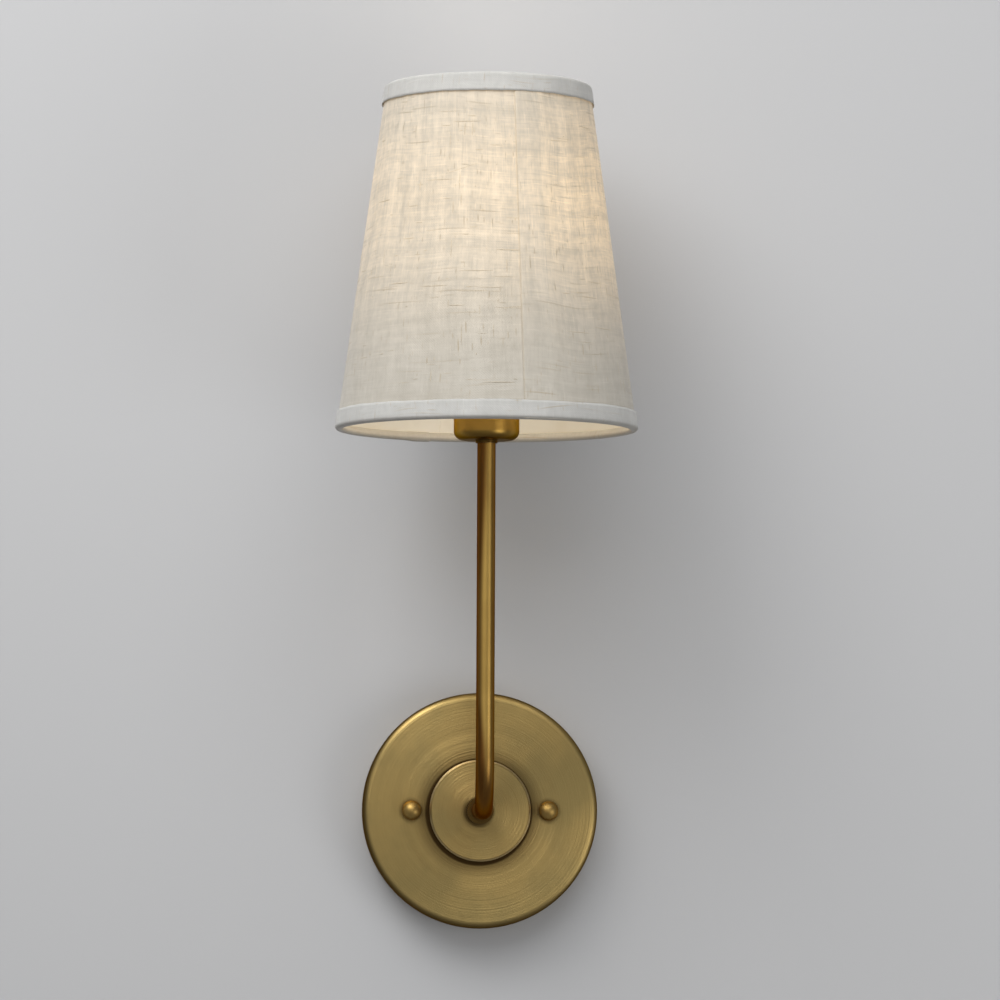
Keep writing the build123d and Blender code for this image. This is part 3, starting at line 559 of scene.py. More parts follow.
# %% Pieces of each kind
MOULDED_PIECES = (
    ("bushing_plastic", (0.72, 0.72, 0.69), 0.50, ["lead_bushing"]),
    ("green_insulation", (0.03, 0.22, 0.05), 0.42, ["ground_lead"]),
    ("black_insulation", (0.018, 0.018, 0.018), 0.42, ["live_lead"]),
    ("white_insulation", (0.74, 0.74, 0.70), 0.42, ["neutral_lead"]),
    ("orange_plastic", (0.72, 0.16, 0.02), 0.48, ["wire_connectors"]),
    ("black_phenolic", (0.022, 0.021, 0.020), 0.36,
     ["socket_cap", "socket_shell", "shade_ring_nut"]),
    ("lamp_plastic", (0.76, 0.76, 0.73), 0.30, ["bulb_housing"]),
    ("circuit_board", (0.03, 0.16, 0.06), 0.40, ["bulb_driver_board"]),
    ("led_phosphor", (0.82, 0.60, 0.12), 0.35, ["bulb_led_chips"]),
    ("white_enamel", (0.74, 0.72, 0.66), 0.32,
     ["fitter_ring", "shade_spokes", "bottom_ring_wire", "top_ring_wire"]),
)
GLAZED_PIECES = (
    ("porcelain", (0.80, 0.78, 0.71), 0.16, ["socket_insert"]),
    ("black_glass", (0.015, 0.013, 0.02), 0.12, ["bulb_insulator"]),
)
METAL_PIECES = (
    ("green_screw", (0.03, 0.22, 0.07), 0.38, ["ground_screw"]),
    ("bright_brass", (0.66, 0.47, 0.17), 0.28,
     ["screw_shell", "centre_contact", "terminal_screws"]),
    ("nickel_plate", (0.58, 0.57, 0.54), 0.24, ["bulb_base_shell", "bulb_tip_contact"]),
    ("board_aluminium", (0.76, 0.76, 0.74), 0.40, ["bulb_led_board"]),
)

for name, color, roughness, pieces in MOULDED_PIECES:
    dress(pieces, moulded(name, color, roughness, MOULDED_PEEL_PER_METRE))
for name, color, roughness, pieces in GLAZED_PIECES:
    dress(pieces, moulded(name, color, roughness, GLAZED_PEEL_PER_METRE))
for name, color, roughness, pieces in METAL_PIECES:
    dress(pieces, bare_metal(name, color, roughness))

# %% [markdown]
# ## The lit lamp
# The lamp's dome is frosted and lit from inside. It is brightest at its crown and falls off
# towards the opaque neck, so its emission follows height. Its light reaches the spokes, the ring
# nut and the wall by itself. The cloth and the skin also let light through, which would be slow
# to trace, so each of them gets a glow of its own where it is made.

# %% Lit dome
DOME_GLOW = 3.2
DOME_FROSTED = shades(0.84, 0.82, 0.77)
CROWN_WARM = shades(1.0, 0.85, 0.66)
NECK_WARM = shades(0.62, 0.48, 0.32)
NECK_TO_CROWN = (dome_bottom, dome_bottom + 0.5 * dome_height, 0.45, 1.0)
FROST_PER_METRE = 2500.0


def lit_dome():
    finish = Finish("lit_dome")
    frost = finish.noise(finish.place(), FROST_PER_METRE, detail=1.0)
    warmth = finish.mix(finish.height().step(*NECK_TO_CROWN), NECK_WARM, CROWN_WARM)
    finish.set(Base_Color=DOME_FROSTED, Roughness=(frost - 0.5) * 0.1 + 0.45)
    finish.set(Emission_Color=warmth, Emission_Strength=DOME_GLOW)
    finish.bump(frost, distance=0.01 * MM, strength=0.3)
    return finish.material


dress(["bulb_dome"], lit_dome())

# %% [markdown]
# ## Linen
# The cloth is an open plain weave of flax yarn. Flax is never even: each yarn swells and thins
# along its length, and that makes long streaks both ways, short dark dashes, and light gaps.
# Where the lamp is behind the cloth, thick yarns look darker because they hold back its light.
# So one pattern, how much yarn covers each spot, drives the colour, the glow and the bump. It
# reads the cloth's own coordinates, in metres along its threads, so it follows the cone.

# %% Yarn pattern
THREAD_PITCH = 0.60 * MM
ROW_STEP = 3.7
THREADS_RISE = 20 * MM
THREADS_SWAY = 9 * MM

# Noise along single threads: metres to a wave and a seed.
WEFT = (18 * MM, 0.0)
WARP = (14 * MM, 20.0)

# Faults along single threads: metres to a wave, a seed, the noise at none and at full, a weight.
LONG_SLUBS = (44 * MM, 40.0, 0.64, 0.74, 0.8)
SHORT_SLUBS = (10 * MM, 60.0, 0.66, 0.80, 0.7)
DASHES = (8 * MM, 80.0, 0.64, 0.78, 1.1)
GAPS = (16 * MM, 100.0, 0.38, 0.26, 0.10)
SLOTS = (10 * MM, 120.0, 0.38, 0.26, 0.10)

# Unevenness across many threads: waves in a metre round the shade and up it, and a seed.
RISE = (13.0, 5.0, 1.0)
SWAY = (6.0, 13.0, 2.0)
BANDS = (150.0, 14.0, 3.0)
BELTS = (12.0, 190.0, 5.0)
CLOTS = (330.0, 230.0, 7.0)
SLUBBY = (26.0, 32.0, 9.0)
SLUBBY_STEP = (0.34, 0.62, 0.25, 1.0)

# What each of them counts for in the cover, and what is taken off to start it from nothing.
THREADS_WEIGHT = 0.22
BANDS_WEIGHT = 0.40
BELTS_WEIGHT = 0.34
CLOTS_WEIGHT = 0.30
COVER_LESS = 0.10


def single_threads(finish, along, across, reach, seed):
    """Noise along each thread, reach metres to a wave, that differs from thread to thread."""
    row = (across / THREAD_PITCH).math("FLOOR")
    return finish.noise(finish.join(along / reach, row * ROW_STEP, seed), detail=1.0)


def faults(finish, along, across, kind):
    reach, seed, none, full, weight = kind
    return single_threads(finish, along, across, reach, seed).step(none, full) * weight


def uneven(finish, level, upright, kind, detail=1.0):
    per_metre_round, per_metre_up, seed = kind
    place = finish.join(level * per_metre_round, upright * per_metre_up, seed)
    return finish.noise(place, detail=detail)


def yarn_cover(finish, flat):
    """How much yarn covers a spot, and how much of that is slubs. Both run from 0 to 1."""
    level, upright = finish.split(flat)[:2]
    rise = uneven(finish, level, upright, RISE)
    sway = uneven(finish, level, upright, SWAY)
    upright = upright + (rise - 0.5) * THREADS_RISE
    level = level + (sway - 0.5) * THREADS_SWAY
    threads = (single_threads(finish, level, upright, *WEFT)
               + single_threads(finish, upright, level, *WARP))
    slubs = (faults(finish, level, upright, LONG_SLUBS)
             + faults(finish, level, upright, SHORT_SLUBS)
             + faults(finish, upright, level, DASHES))
    slubs = slubs * uneven(finish, level, upright, SLUBBY).step(*SLUBBY_STEP)
    holes = faults(finish, level, upright, GAPS) + faults(finish, upright, level, SLOTS)
    bands = uneven(finish, level, upright, BANDS, detail=2.0)
    belts = uneven(finish, level, upright, BELTS, detail=2.0)
    clots = uneven(finish, level, upright, CLOTS, detail=2.0)
    cover = threads * THREADS_WEIGHT + bands * BANDS_WEIGHT + belts * BELTS_WEIGHT
    cover = cover + clots * CLOTS_WEIGHT - COVER_LESS - holes
    return cover.math("MAXIMUM", 0.0).math("MINIMUM", 1.0), slubs.math("MINIMUM", 1.0)


def weave_height(finish, flat):
    """Over-and-under of a plain weave, one thread pitch apart both ways."""
    level, upright = finish.split(flat)[:2]
    turn = math.pi / THREAD_PITCH
    over = (level * turn).sine() * (upright * turn).sine()
    return over * 0.5 + 0.5


print("linen:", round(10 * MM / THREAD_PITCH, 1), "threads in a centimetre")

# %% [markdown]
# ### Light through the linen
# The glow on the cloth is strongest beside the lamp and falls off with the distance from it. Its
# brightest spot is set a little to the right of the axis and below the dome's middle, as in the
# photograph. Low down the socket and the ring nut stand in the way, so there the glow fades out.
# Where the cloth is double at its lap the glow is weaker, and on the tapes, which lie over the
# cloth and the skin, it is nearly gone.

# %% Linen finish
GLOW_WARM = shades(1.0, 0.66, 0.29)
GLOW_STRENGTH = 0.370
GLOW_REACH = 58 * MM
GLOW_FALL = -2.6
GLOW_MOST = 1.1
GLOW_ASIDE = 6 * MM
GLOW_BELOW = 8 * MM
GLOW_FADE = (lamp_glow_height - 112 * MM, lamp_glow_height - 36 * MM)
LINEN_SLUB = shades(0.42, 0.33, 0.21)
LINEN_UNDERSIDE_SHADE = shades(0.22, 0.19, 0.155)
SLUBS_TONE = 0.58
SLUBS_HOLD_BACK = 0.62
COVER_RANGE = (0.30, 0.95)
LIT_THIN_AND_THICK = (1.37, 0.37)
PATCHES_PER_METRE = 46.0
PATCHES_SHARE = 0.15
CUT_EDGE = (0.2 * MM, 0.9 * MM, 1.0, 0.0)
CUT_EDGE_TONE = 0.28
CUT_EDGE_HOLDS_BACK = 0.08
TAPE_START = 0.4
TURNED_IN = (TAPE_START + 10.5 * MM, TAPE_START + 14.0 * MM)
# Painted shade along the underside of the bottom fold.
TAPE_UNDERSIDE_SHADE = (shade_bottom + 0.7 * MM, shade_bottom + 2.3 * MM, 0.45, 0.0)
TAPE_LIT = shades(0.13, 0.10, 0.062)


def lamp_reach(finish):
    """Share of the lamp's light at a spot: less with distance, and none far below the lamp."""
    x, y, z = finish.split(finish.place())
    from_lamp = finish.join(x - GLOW_ASIDE, y - lamp_axis_y, z - lamp_glow_height + GLOW_BELOW)
    near = (finish.length(from_lamp) / GLOW_REACH) ** GLOW_FALL
    return z.step(*GLOW_FADE) * near.math("MINIMUM", GLOW_MOST)


def linen(name, thin, thick, glow, lap=None, folded=False):
    """Linen. lap says where the double strip ends and how much it glows; a tape is folded."""
    finish = Finish(name)
    flat = finish.flat()
    level, upright = finish.split(flat)[:2]
    cover, slubs = yarn_cover(finish, flat)
    patches = finish.noise(finish.place(), PATCHES_PER_METRE).spread()
    tone = cover.step(*COVER_RANGE) * (1.0 - PATCHES_SHARE) + patches * PATCHES_SHARE
    cloth = finish.mix(slubs * SLUBS_TONE, finish.mix(tone, thin, thick), LINEN_SLUB)
    through = cover.step(*COVER_RANGE, *LIT_THIN_AND_THICK) * (1.0 - slubs * SLUBS_HOLD_BACK)
    through = through * lamp_reach(finish)
    if lap:
        cut_edge = level.step(*CUT_EDGE)
        cloth = finish.mix(cut_edge * CUT_EDGE_TONE, cloth, LINEN_SLUB)
        through = through * level.step(*lap) * (1.0 - cut_edge * CUT_EDGE_HOLDS_BACK)
    lit = finish.mix(through * glow, BLACK, GLOW_WARM)
    if folded:
        # Painted shade on the underside of the fold; the turned-in tape gets painted light from
        # the lamp.
        cloth = finish.mix(finish.height().step(*TAPE_UNDERSIDE_SHADE), cloth, LINEN_UNDERSIDE_SHADE)
        lit = finish.mix(upright.step(*TURNED_IN), lit, TAPE_LIT)
    finish.set(Base_Color=cloth, Emission_Color=lit, Emission_Strength=1.0)
    finish.set(Roughness=0.88, Sheen_Weight=0.2, Sheen_Roughness=0.5, Specular_IOR_Level=0.2)
    relief = weave_height(finish, flat) * 0.4 + slubs * 0.6 + cover * 0.4
    finish.bump(relief, distance=0.15 * MM, strength=0.8)
    return finish.material


print("glow fades out below", round(GLOW_FADE[1], 3), "and is gone at", round(GLOW_FADE[0], 3))

# %% [markdown]
# ### Three linens
# The cover, the slubs that stand up from it and the tapes are one cloth in three states. Thin
# and thick are its colours where little and much yarn covers a spot. The tapes are whiter. The
# fold at the lower edge is darkened: painted shade on the underside of the rolled edge. The
# tapes' threads start 0.4 m up the cloth, so their pattern isn't the cover's.

# %% Cover, slub and tape linen
LAP_WIDTH = 13.5 * MM
COVER_LAP = (LAP_WIDTH, LAP_WIDTH + 0.7 * MM, 0.80, 1.0)
COVER_THIN = shades(0.600, 0.562, 0.494)
COVER_THICK = shades(0.455, 0.419, 0.355)
SLUB_THIN = shades(0.56, 0.50, 0.40)
SLUB_THICK = shades(0.465, 0.405, 0.31)
TAPE_THIN = shades(0.60, 0.592, 0.565)
TAPE_THICK = shades(0.47, 0.463, 0.44)
SLUB_GLOW = GLOW_STRENGTH * 0.72
TAPE_GLOW = GLOW_STRENGTH * 0.06

cover_linen = linen("shade_linen", COVER_THIN, COVER_THICK, GLOW_STRENGTH, lap=COVER_LAP)
slub_linen = linen("slub_linen", SLUB_THIN, SLUB_THICK, SLUB_GLOW)
tape_linen = linen("tape_linen", TAPE_THIN, TAPE_THICK, TAPE_GLOW, folded=True)
print("linens:", cover_linen.name, slub_linen.name, tape_linen.name)

# %% [markdown]
# ## Rolling a flat cloth into a cone
# The shade's cover is a strip of cloth rolled round a cone, with its free edge lapped over its
# start and glued. That is a rule, so Geometry Nodes make it: a flat grid, whose width becomes an
# angle and whose height becomes a place on the cone. Where the cloth laps over itself the upper
# layer is lifted by the thickness of the cloth, and comes down to the cone again past the lap.
# The stiff inner skin is the same thing with other numbers. The tree stores the flat position
# as the piece's thread coordinates.

# %% Rolled sheet tree
CONE_INPUTS = ["Bottom radius", "Top radius", "Bottom height", "Top height"]
SHEET_COLUMNS = 321
SHEET_ROWS = 49
LAP_SETTLES_AT = 1.5


def new_tree(name, inputs):
    tree = bpy.data.node_groups.new(name, "GeometryNodeTree")
    tree.interface.new_socket("Geometry", in_out="OUTPUT", socket_type="NodeSocketGeometry")
    tree.interface.new_socket("Geometry", in_out="INPUT", socket_type="NodeSocketGeometry")
    for label in inputs:
        kind = "NodeSocketMaterial" if label == "Material" else "NodeSocketFloat"
        tree.interface.new_socket(label, in_out="INPUT", socket_type=kind)
    graph = Graph(tree)
    source = graph.node("NodeGroupInput")
    given = {label: graph.also(source, label) for label in inputs}
    return graph, given


def cone_place(graph, angle, share, given, lift):
    """A point on the cone from an angle, a share of the height and a lift off the surface."""
    radius = given["Bottom radius"] + (given["Top radius"] - given["Bottom radius"]) * share + lift
    height = given["Bottom height"] + (given["Top height"] - given["Bottom height"]) * share
    return graph.join(radius * angle.cosine(), radius * angle.sine() + lamp_axis_y, height)


def roll(graph, geometry, threads, place, material):
    """End a tree: store the flat place of each corner, move it onto the cone and paint it."""
    stored = graph.node("GeometryNodeStoreNamedAttribute",
                        {"data_type": "FLOAT2", "domain": "CORNER"},
                        {"Geometry": geometry, "Name": "threads", "Value": threads})
    moved = graph.node("GeometryNodeSetPosition", None, {"Geometry": stored, "Position": place})
    smooth = graph.node("GeometryNodeSetShadeSmooth", None, {0: moved})
    real = graph.node("GeometryNodeRealizeInstances", None, {0: smooth})
    painted = graph.node("GeometryNodeSetMaterial", None, {"Geometry": real, "Material": material})
    graph.tree.links.new(painted.socket, graph.tree.nodes.new("NodeGroupOutput").inputs[0])
    return graph.tree


def rolled_sheet_tree():
    inputs = [*CONE_INPUTS, "Start angle", "Lap angle", "Lift", "Material"]
    graph, given = new_tree("rolled sheet", inputs)
    grid = graph.node("GeometryNodeMeshGrid", None, {
        "Size X": 1.0, "Size Y": 1.0, "Vertices X": SHEET_COLUMNS, "Vertices Y": SHEET_ROWS})
    x, y, z = graph.split(graph.node("GeometryNodeInputPosition"))
    share = y + 0.5
    turned = (given["Lap angle"] + 2 * math.pi) * (x + 0.5)
    lap_end = given["Lap angle"] * LAP_SETTLES_AT
    lift = given["Lift"] * turned.step(given["Lap angle"], lap_end, 1.0, 0.0)
    mean_radius = (given["Bottom radius"] + given["Top radius"]) * 0.5
    slant = given["Top height"] - given["Bottom height"]
    threads = graph.join(turned * mean_radius, share * slant, 0.0)
    place = cone_place(graph, given["Start angle"] + turned, share, given, lift)
    return roll(graph, grid, threads, place, given["Material"])


def grown(name, tree, values):
    """Run a Geometry Nodes tree once and keep its result as a plain mesh object."""
    holder = bpy.data.objects.new(name + "_seed", bpy.data.meshes.new(name + "_seed"))
    bpy.context.scene.collection.objects.link(holder)
    modifier = holder.modifiers.new("tree", "NODES")
    modifier.node_group = tree
    for item in tree.interface.items_tree:
        if item.in_out == "INPUT" and item.name in values:
            modifier[item.identifier] = values[item.name]
    ready = holder.evaluated_get(bpy.context.evaluated_depsgraph_get())
    mesh = bpy.data.meshes.new_from_object(ready)
    bpy.data.objects.remove(holder)
    piece = bpy.data.objects.new(name, mesh)
    mesh.name = name
    bpy.context.scene.collection.objects.link(piece)
    print(name, "has", len(mesh.polygons), "faces")
    return piece


def thicken(piece, thickness, offset):
    """Give a single-layer sheet its thickness."""
    solid = piece.modifiers.new("thickness", "SOLIDIFY")
    solid.thickness = thickness
    solid.offset = offset


sheet_tree = rolled_sheet_tree()
print("rolled sheet tree has", len(sheet_tree.nodes), "nodes")

# %% [markdown]
# ### The linen cover
# Its lap is at the front, a little to the right, where the photograph shows a darker upright
# band about 14 mm wide in the lit cloth. The colour of the band is the cloth's own. Its glow is
# turned down over the first 13.5 mm of the strip, because the cloth is double there, and its
# free edge shows as a fine line.

# %% Linen cover
LAP_START = math.radians(-77.7)
LAP_ANGLE = math.radians(13.9)
LAP_GAP = 0.02 * MM
GLUE_UNDER_TAPE = 0.05 * MM


def cone_values(inset, start, lap, lift, material):
    low = shade_bottom + TAPE_THICKNESS
    high = shade_top - TAPE_THICKNESS
    return {
        "Bottom radius": shade_radius(low) - inset,
        "Top radius": shade_radius(high) - inset,
        "Bottom height": low,
        "Top height": high,
        "Start angle": start,
        "Lap angle": lap,
        "Lift": lift,
        "Material": material,
    }


cover_inset = TAPE_THICKNESS + CLOTH_THICKNESS + GLUE_UNDER_TAPE
cover_lift = CLOTH_THICKNESS + LAP_GAP
cover_values = cone_values(cover_inset, LAP_START, LAP_ANGLE, cover_lift, cover_linen)
linen_cover = grown("linen_cloth", sheet_tree, cover_values)
thicken(linen_cover, CLOTH_THICKNESS, -1.0)
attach(linen_cover, "shade")
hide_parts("linen_cover")

# %% [markdown]
# ### Slubs
# A slub is a stretch of yarn several times thicker than the rest. The thickest ones stand up
# from the cloth, so they are real shapes here: long flattened beads, some along the threads that
# run round the shade and some along those that run up it. Geometry Nodes scatter them on the
# flat cloth from a fixed seed, and the same rule rolls them round the cone. Cubing an even
# chance makes most of them short and a few of them long.

# %% Slub tree
SLUBS_PER_SQUARE_METRE = 11000.0
SLUB_SEED = 11
SLUB_MARGIN = 17 * MM
UPRIGHT_ABOVE = (0.40, 0.42)
UPRIGHT_SHORTER_BY = 0.45
SHORTEST_HALF = 0.9 * MM
LONGEST_ADDS = 10.0 * MM
WIDE_HALF_MM = (0.12, 0.32)
TALL_HALF_MM = (0.05, 0.12)
BEAD_SIDES = 6
BEAD_RINGS = 12


def slub_tree():
    graph, given = new_tree("slubs", [*CONE_INPUTS, "Material"])
    mean_radius = (given["Bottom radius"] + given["Top radius"]) * 0.5
    width = mean_radius * (2 * math.pi)
    height = given["Top height"] - given["Bottom height"]
    cloth = graph.node("GeometryNodeMeshGrid", None, {
        "Size X": width, "Size Y": height - SLUB_MARGIN * 2, "Vertices X": 2, "Vertices Y": 2})
    spots = graph.node("GeometryNodeDistributePointsOnFaces", None, {
        "Mesh": cloth, "Density": SLUBS_PER_SQUARE_METRE, "Seed": SLUB_SEED})
    bead = graph.node("GeometryNodeMeshUVSphere", None, {
        "Segments": BEAD_SIDES, "Rings": BEAD_RINGS, "Radius": 1.0})

    def chance(low, high, seed):
        inputs = {2: low, 3: high, 8: seed}
        return graph.node("FunctionNodeRandomValue", {"data_type": "FLOAT"}, inputs, output=1)

    upright = chance(0.0, 1.0, 1).step(*UPRIGHT_ABOVE)
    long_half = chance(0.0, 1.0, 2) ** 3 * LONGEST_ADDS + SHORTEST_HALF
    long_half = long_half * (1.0 - upright * UPRIGHT_SHORTER_BY)
    wide_half = chance(*WIDE_HALF_MM, 3) * MM
    tall_half = chance(*TALL_HALF_MM, 4) * MM
    beads = graph.node("GeometryNodeInstanceOnPoints", None, {
        "Points": spots,
        "Instance": bead,
        "Rotation": graph.join(0.0, math.pi / 2, upright * (math.pi / 2)),
        "Scale": graph.join(tall_half, wide_half, long_half),
    })
    real = graph.node("GeometryNodeRealizeInstances", None, {0: beads})
    x, y, z = graph.split(graph.node("GeometryNodeInputPosition"))
    threads = graph.join(x + width * 0.5, y + height * 0.5, 0.0)
    place = cone_place(graph, x / mean_radius, y / height + 0.5, given, z)
    return roll(graph, real, threads, place, given["Material"])


linen_slubs = grown("linen_slubs", slub_tree(), dict(cover_values, Material=slub_linen))
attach(linen_slubs, "shade")

# %% [markdown]
# ### The inner skin
# Behind the linen is a stiff translucent sheet, which holds the cone's shape. The lamp shines
# into it, so it has a faint warm glow, stronger low down, where the camera looks in. Its own lap
# is at the back on the left, and shows as a fine upright line inside the lower edge.

# %% Inner skin
SKIN_LAP_START = math.radians(107.0)
SKIN_LAP_ANGLE = math.radians(9.0)
SKIN_GAP = 0.15 * MM
SKIN_PALE = shades(0.76, 0.735, 0.68)
SKIN_YELLOWED = shades(0.70, 0.665, 0.595)
SKIN_GLOW = shades(0.24, 0.20, 0.138)
SKIN_LIT = (shade_bottom, lamp_glow_height - 30 * MM, 1.0, 0.35)
SKIN_CLOUDY = (0.2, 0.8, 0.94, 1.06)
CLOUDS_PER_METRE = 60.0
FIBRES_PER_METRE = (900.0, 900.0, 500.0)


def skin_finish():
    finish = Finish("styrene_skin")
    place = finish.place()
    cloud = finish.noise(place, CLOUDS_PER_METRE, detail=3.0)
    fibre = finish.noise(finish.vector("MULTIPLY", place, FIBRES_PER_METRE))
    lit = finish.height().step(*SKIN_LIT) * cloud.step(*SKIN_CLOUDY)
    finish.set(Base_Color=finish.mix(cloud.spread(), SKIN_PALE, SKIN_YELLOWED))
    finish.set(Roughness=(fibre - 0.5) * 0.2 + 0.55)
    finish.set(Emission_Color=finish.mix(lit, BLACK, SKIN_GLOW), Emission_Strength=1.0)
    finish.bump(fibre, distance=0.03 * MM, strength=0.4)
    return finish.material


skin_inset = TAPE_THICKNESS + 2 * CLOTH_THICKNESS + SKIN_GAP
skin_lift = -LINER_THICKNESS - LAP_GAP
skin_values = cone_values(skin_inset, SKIN_LAP_START, SKIN_LAP_ANGLE, skin_lift, skin_finish())
inner_skin = grown("inner_skin", sheet_tree, skin_values)
thicken(inner_skin, LINER_THICKNESS, 1.0)
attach(inner_skin, "shade")
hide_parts("shade_liner")

# %% [markdown]
# ### Folded tapes
# A strip of the same linen is folded over each edge and glued: down the outside, round the edge
# and the ring wire, and a few millimetres up the inside. Its path across the edge is drawn once
# as a line of points with round corners: each point is a radius and a height.

# %% The tape's path across the edge
TAPE_BAND = 9.5 * MM
TAPE_INSIDE = 4.2 * MM
TAPE_ROWS = 6
EDGE_ROUND = 1.7 * MM
EDGE_STEPS = 6
WIRE_STEPS = 7
WRAP_ENDS_AT = 195.0


def arc(centre, radius, start, end, count):
    """Points (radius, height) on an arc, angles in degrees."""
    points = []
    for number in range(count + 1):
        angle = math.radians(start + (end - start) * number / count)
        step_out, step_up = radius * math.cos(angle), radius * math.sin(angle)
        points.append(Vector((centre[0] + step_out, centre[1] + step_up)))
    return points


def tape_path(edge, inward, wire_middle):
    """Middle line of the tape, from its outer free edge to its inner free edge."""
    half = TAPE_THICKNESS / 2

    def outside(height):
        return shade_radius(height) - half

    band = edge + inward * TAPE_BAND
    start_round = edge + inward * (EDGE_ROUND + half)
    points = []
    for row in range(TAPE_ROWS):
        height = band + (start_round - band) * row / TAPE_ROWS
        points.append(Vector((outside(height), height)))
    corner = (outside(start_round) - EDGE_ROUND, start_round)
    points += arc(corner, EDGE_ROUND, 0.0, -90.0 * inward, EDGE_STEPS)
    wrap = WIRE_RADIUS + half
    wire = (wire_middle, edge + inward * (half + wrap))
    points += arc(wire, wrap, -90.0 * inward, -WRAP_ENDS_AT * inward, WIRE_STEPS)
    end = edge + inward * TAPE_INSIDE
    points.append(Vector((shade_radius(end) - skin_inset - LINER_THICKNESS * 1.5 - half, end)))
    return points


def path_normals(path, inward):
    """The way out of the cloth at each point of its path."""
    normals = []
    for index in range(len(path)):
        before = path[max(index - 1, 0)]
        after = path[min(index + 1, len(path) - 1)]
        along = (after - before).normalized()
        normals.append(Vector((-along[1], along[0])) * inward)
    return normals


print("tape shows", TAPE_BAND / MM, "mm outside and", TAPE_INSIDE / MM, "mm inside")

# %% [markdown]
# ### Sweeping the tapes
# The path is swept round the lamp axis in small turns. Where the tape's ends lap, the upper end
# is lifted by most of its thickness. Its free edge wanders a little, as glued cloth does. Plain
# Python does this better than a tree, because every corner needs its place along the folded
# path for the threads.

# %% Tapes
TAPE_TURNS = 300
TAPE_LAP = 9.0 * MM
TAPE_LAP_START = math.radians(112.0)
TAPE_LAP_LIFT = TAPE_THICKNESS * 0.8
TAPE_WANDER = 0.12 * MM
CREASED_THICKNESS = TAPE_THICKNESS * 0.9


def lap_share(turned, lap_angle):
    """1 over the tape's lap, then down to 0 within half a lap more."""
    if turned < lap_angle:
        return 1.0
    return max(0.0, 1.0 - (turned - lap_angle) / (0.5 * lap_angle))


def free_edge_wave(angle, edge):
    """Three waves round the shade that don't line up; each tape gets its own phase."""
    long_wave = math.sin(7 * angle + edge)
    return long_wave + 0.6 * math.sin(17 * angle + 2.0) + 0.5 * math.sin(41 * angle)


def lay_flat(mesh, path, lap_angle):
    """Store each corner's place on the flat tape, and give the tape's length."""
    run = [0.0]
    for first, second in zip(path, path[1:]):
        run.append(run[-1] + (second - first).length)
    tape_length = (2 * math.pi + lap_angle) * path[0][0]
    threads = mesh.uv_layers.new(name="threads")
    for loop in mesh.loops:
        column, row = divmod(loop.vertex_index, len(path))
        threads.data[loop.index].uv = (tape_length * column / TAPE_TURNS, run[row] + TAPE_START)
    return tape_length


def tape(name, edge, inward, wire):
    path = tape_path(edge, inward, half_width(wire) - WIRE_RADIUS)
    normals = path_normals(path, inward)
    lap_angle = TAPE_LAP / path[0][0]
    vertices = []
    for column in range(TAPE_TURNS + 1):
        turned = (2 * math.pi + lap_angle) * column / TAPE_TURNS
        angle = TAPE_LAP_START + turned
        lift = lap_share(turned, lap_angle) * TAPE_LAP_LIFT
        for index, (point, normal) in enumerate(zip(path, normals)):
            out, up = point + normal * lift
            if index == 0:
                up += free_edge_wave(angle, edge) * TAPE_WANDER * inward
            vertices.append((out * math.cos(angle), out * math.sin(angle) + lamp_axis_y, up))
    faces = []
    for column in range(TAPE_TURNS):
        for row in range(len(path) - 1):
            corner = column * len(path) + row
            quad = (corner, corner + 1, corner + len(path) + 1, corner + len(path))
            faces.append(quad if inward < 0 else quad[::-1])
    mesh = bpy.data.meshes.new(name)
    mesh.from_pydata(vertices, [], faces)
    tape_length = lay_flat(mesh, path, lap_angle)
    mesh.shade_smooth()
    mesh.materials.append(tape_linen)
    piece = bpy.data.objects.new(name, mesh)
    bpy.context.scene.collection.objects.link(piece)
    thicken(piece, CREASED_THICKNESS, 0.0)
    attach(piece, "shade")
    print(name, "is", round(tape_length / MM), "mm long")
    return piece


bottom_tape = tape("bottom_tape", shade_bottom, 1, "bottom_ring_wire")
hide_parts("bottom_trim")
top_tape = tape("top_tape", shade_top, -1, "top_ring_wire")
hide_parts("top_trim")

# %% [markdown]
# ### What the cloth was cut from
# A cone unrolls into a sector of a ring. Its radii are the slant lengths from the cone's tip, and
# its angle is a full turn times the sine of the cone's half angle, plus the lap. The sheet's flat
# size is the rectangle round that sector, and its area is the sector's.

slant_sine = math.sin(math.atan(shade_slope))
outer_cut = cover_values["Bottom radius"] / slant_sine
inner_cut = cover_values["Top radius"] / slant_sine
cut_angle = (2 * math.pi + LAP_ANGLE) * slant_sine
cut_area = (outer_cut ** 2 - inner_cut ** 2) * cut_angle / 2
cut_width = 2 * outer_cut * math.sin(cut_angle / 2)
cut_height = outer_cut - inner_cut * math.cos(cut_angle / 2)
print("cloth cut to", round(cut_width, 3), "by", round(cut_height, 3), "m")
print("cloth area", round(cut_area, 4), "square metres")

# %% [markdown]
# ## Stage
# The light hangs on a plain pale wall above a plain pale floor. The wall has the round hole that
# a wall box needs, hidden behind the backplate, and its back lets the camera look through, so
# the pieces behind the plate can be seen from behind. The floor lies far down, as under a wall
# light, so the camera can also look up from below.

# %% Wall and floor
WALL_COLOR = shades(0.55, 0.55, 0.555)
FLOOR_COLOR = shades(0.60, 0.60, 0.605)
CLEAR = shades(1.0, 1.0, 1.0)
WALL_GAP = 0.4 * MM
WALL_HALF = 2.4
FLOOR_HALF = 2 * WALL_HALF
FLOOR_HEIGHT = -2.32
BOX_HOLE_RADIUS = PLATE_RADIUS - 3.0 * MM
HOLE_SIDES = 64


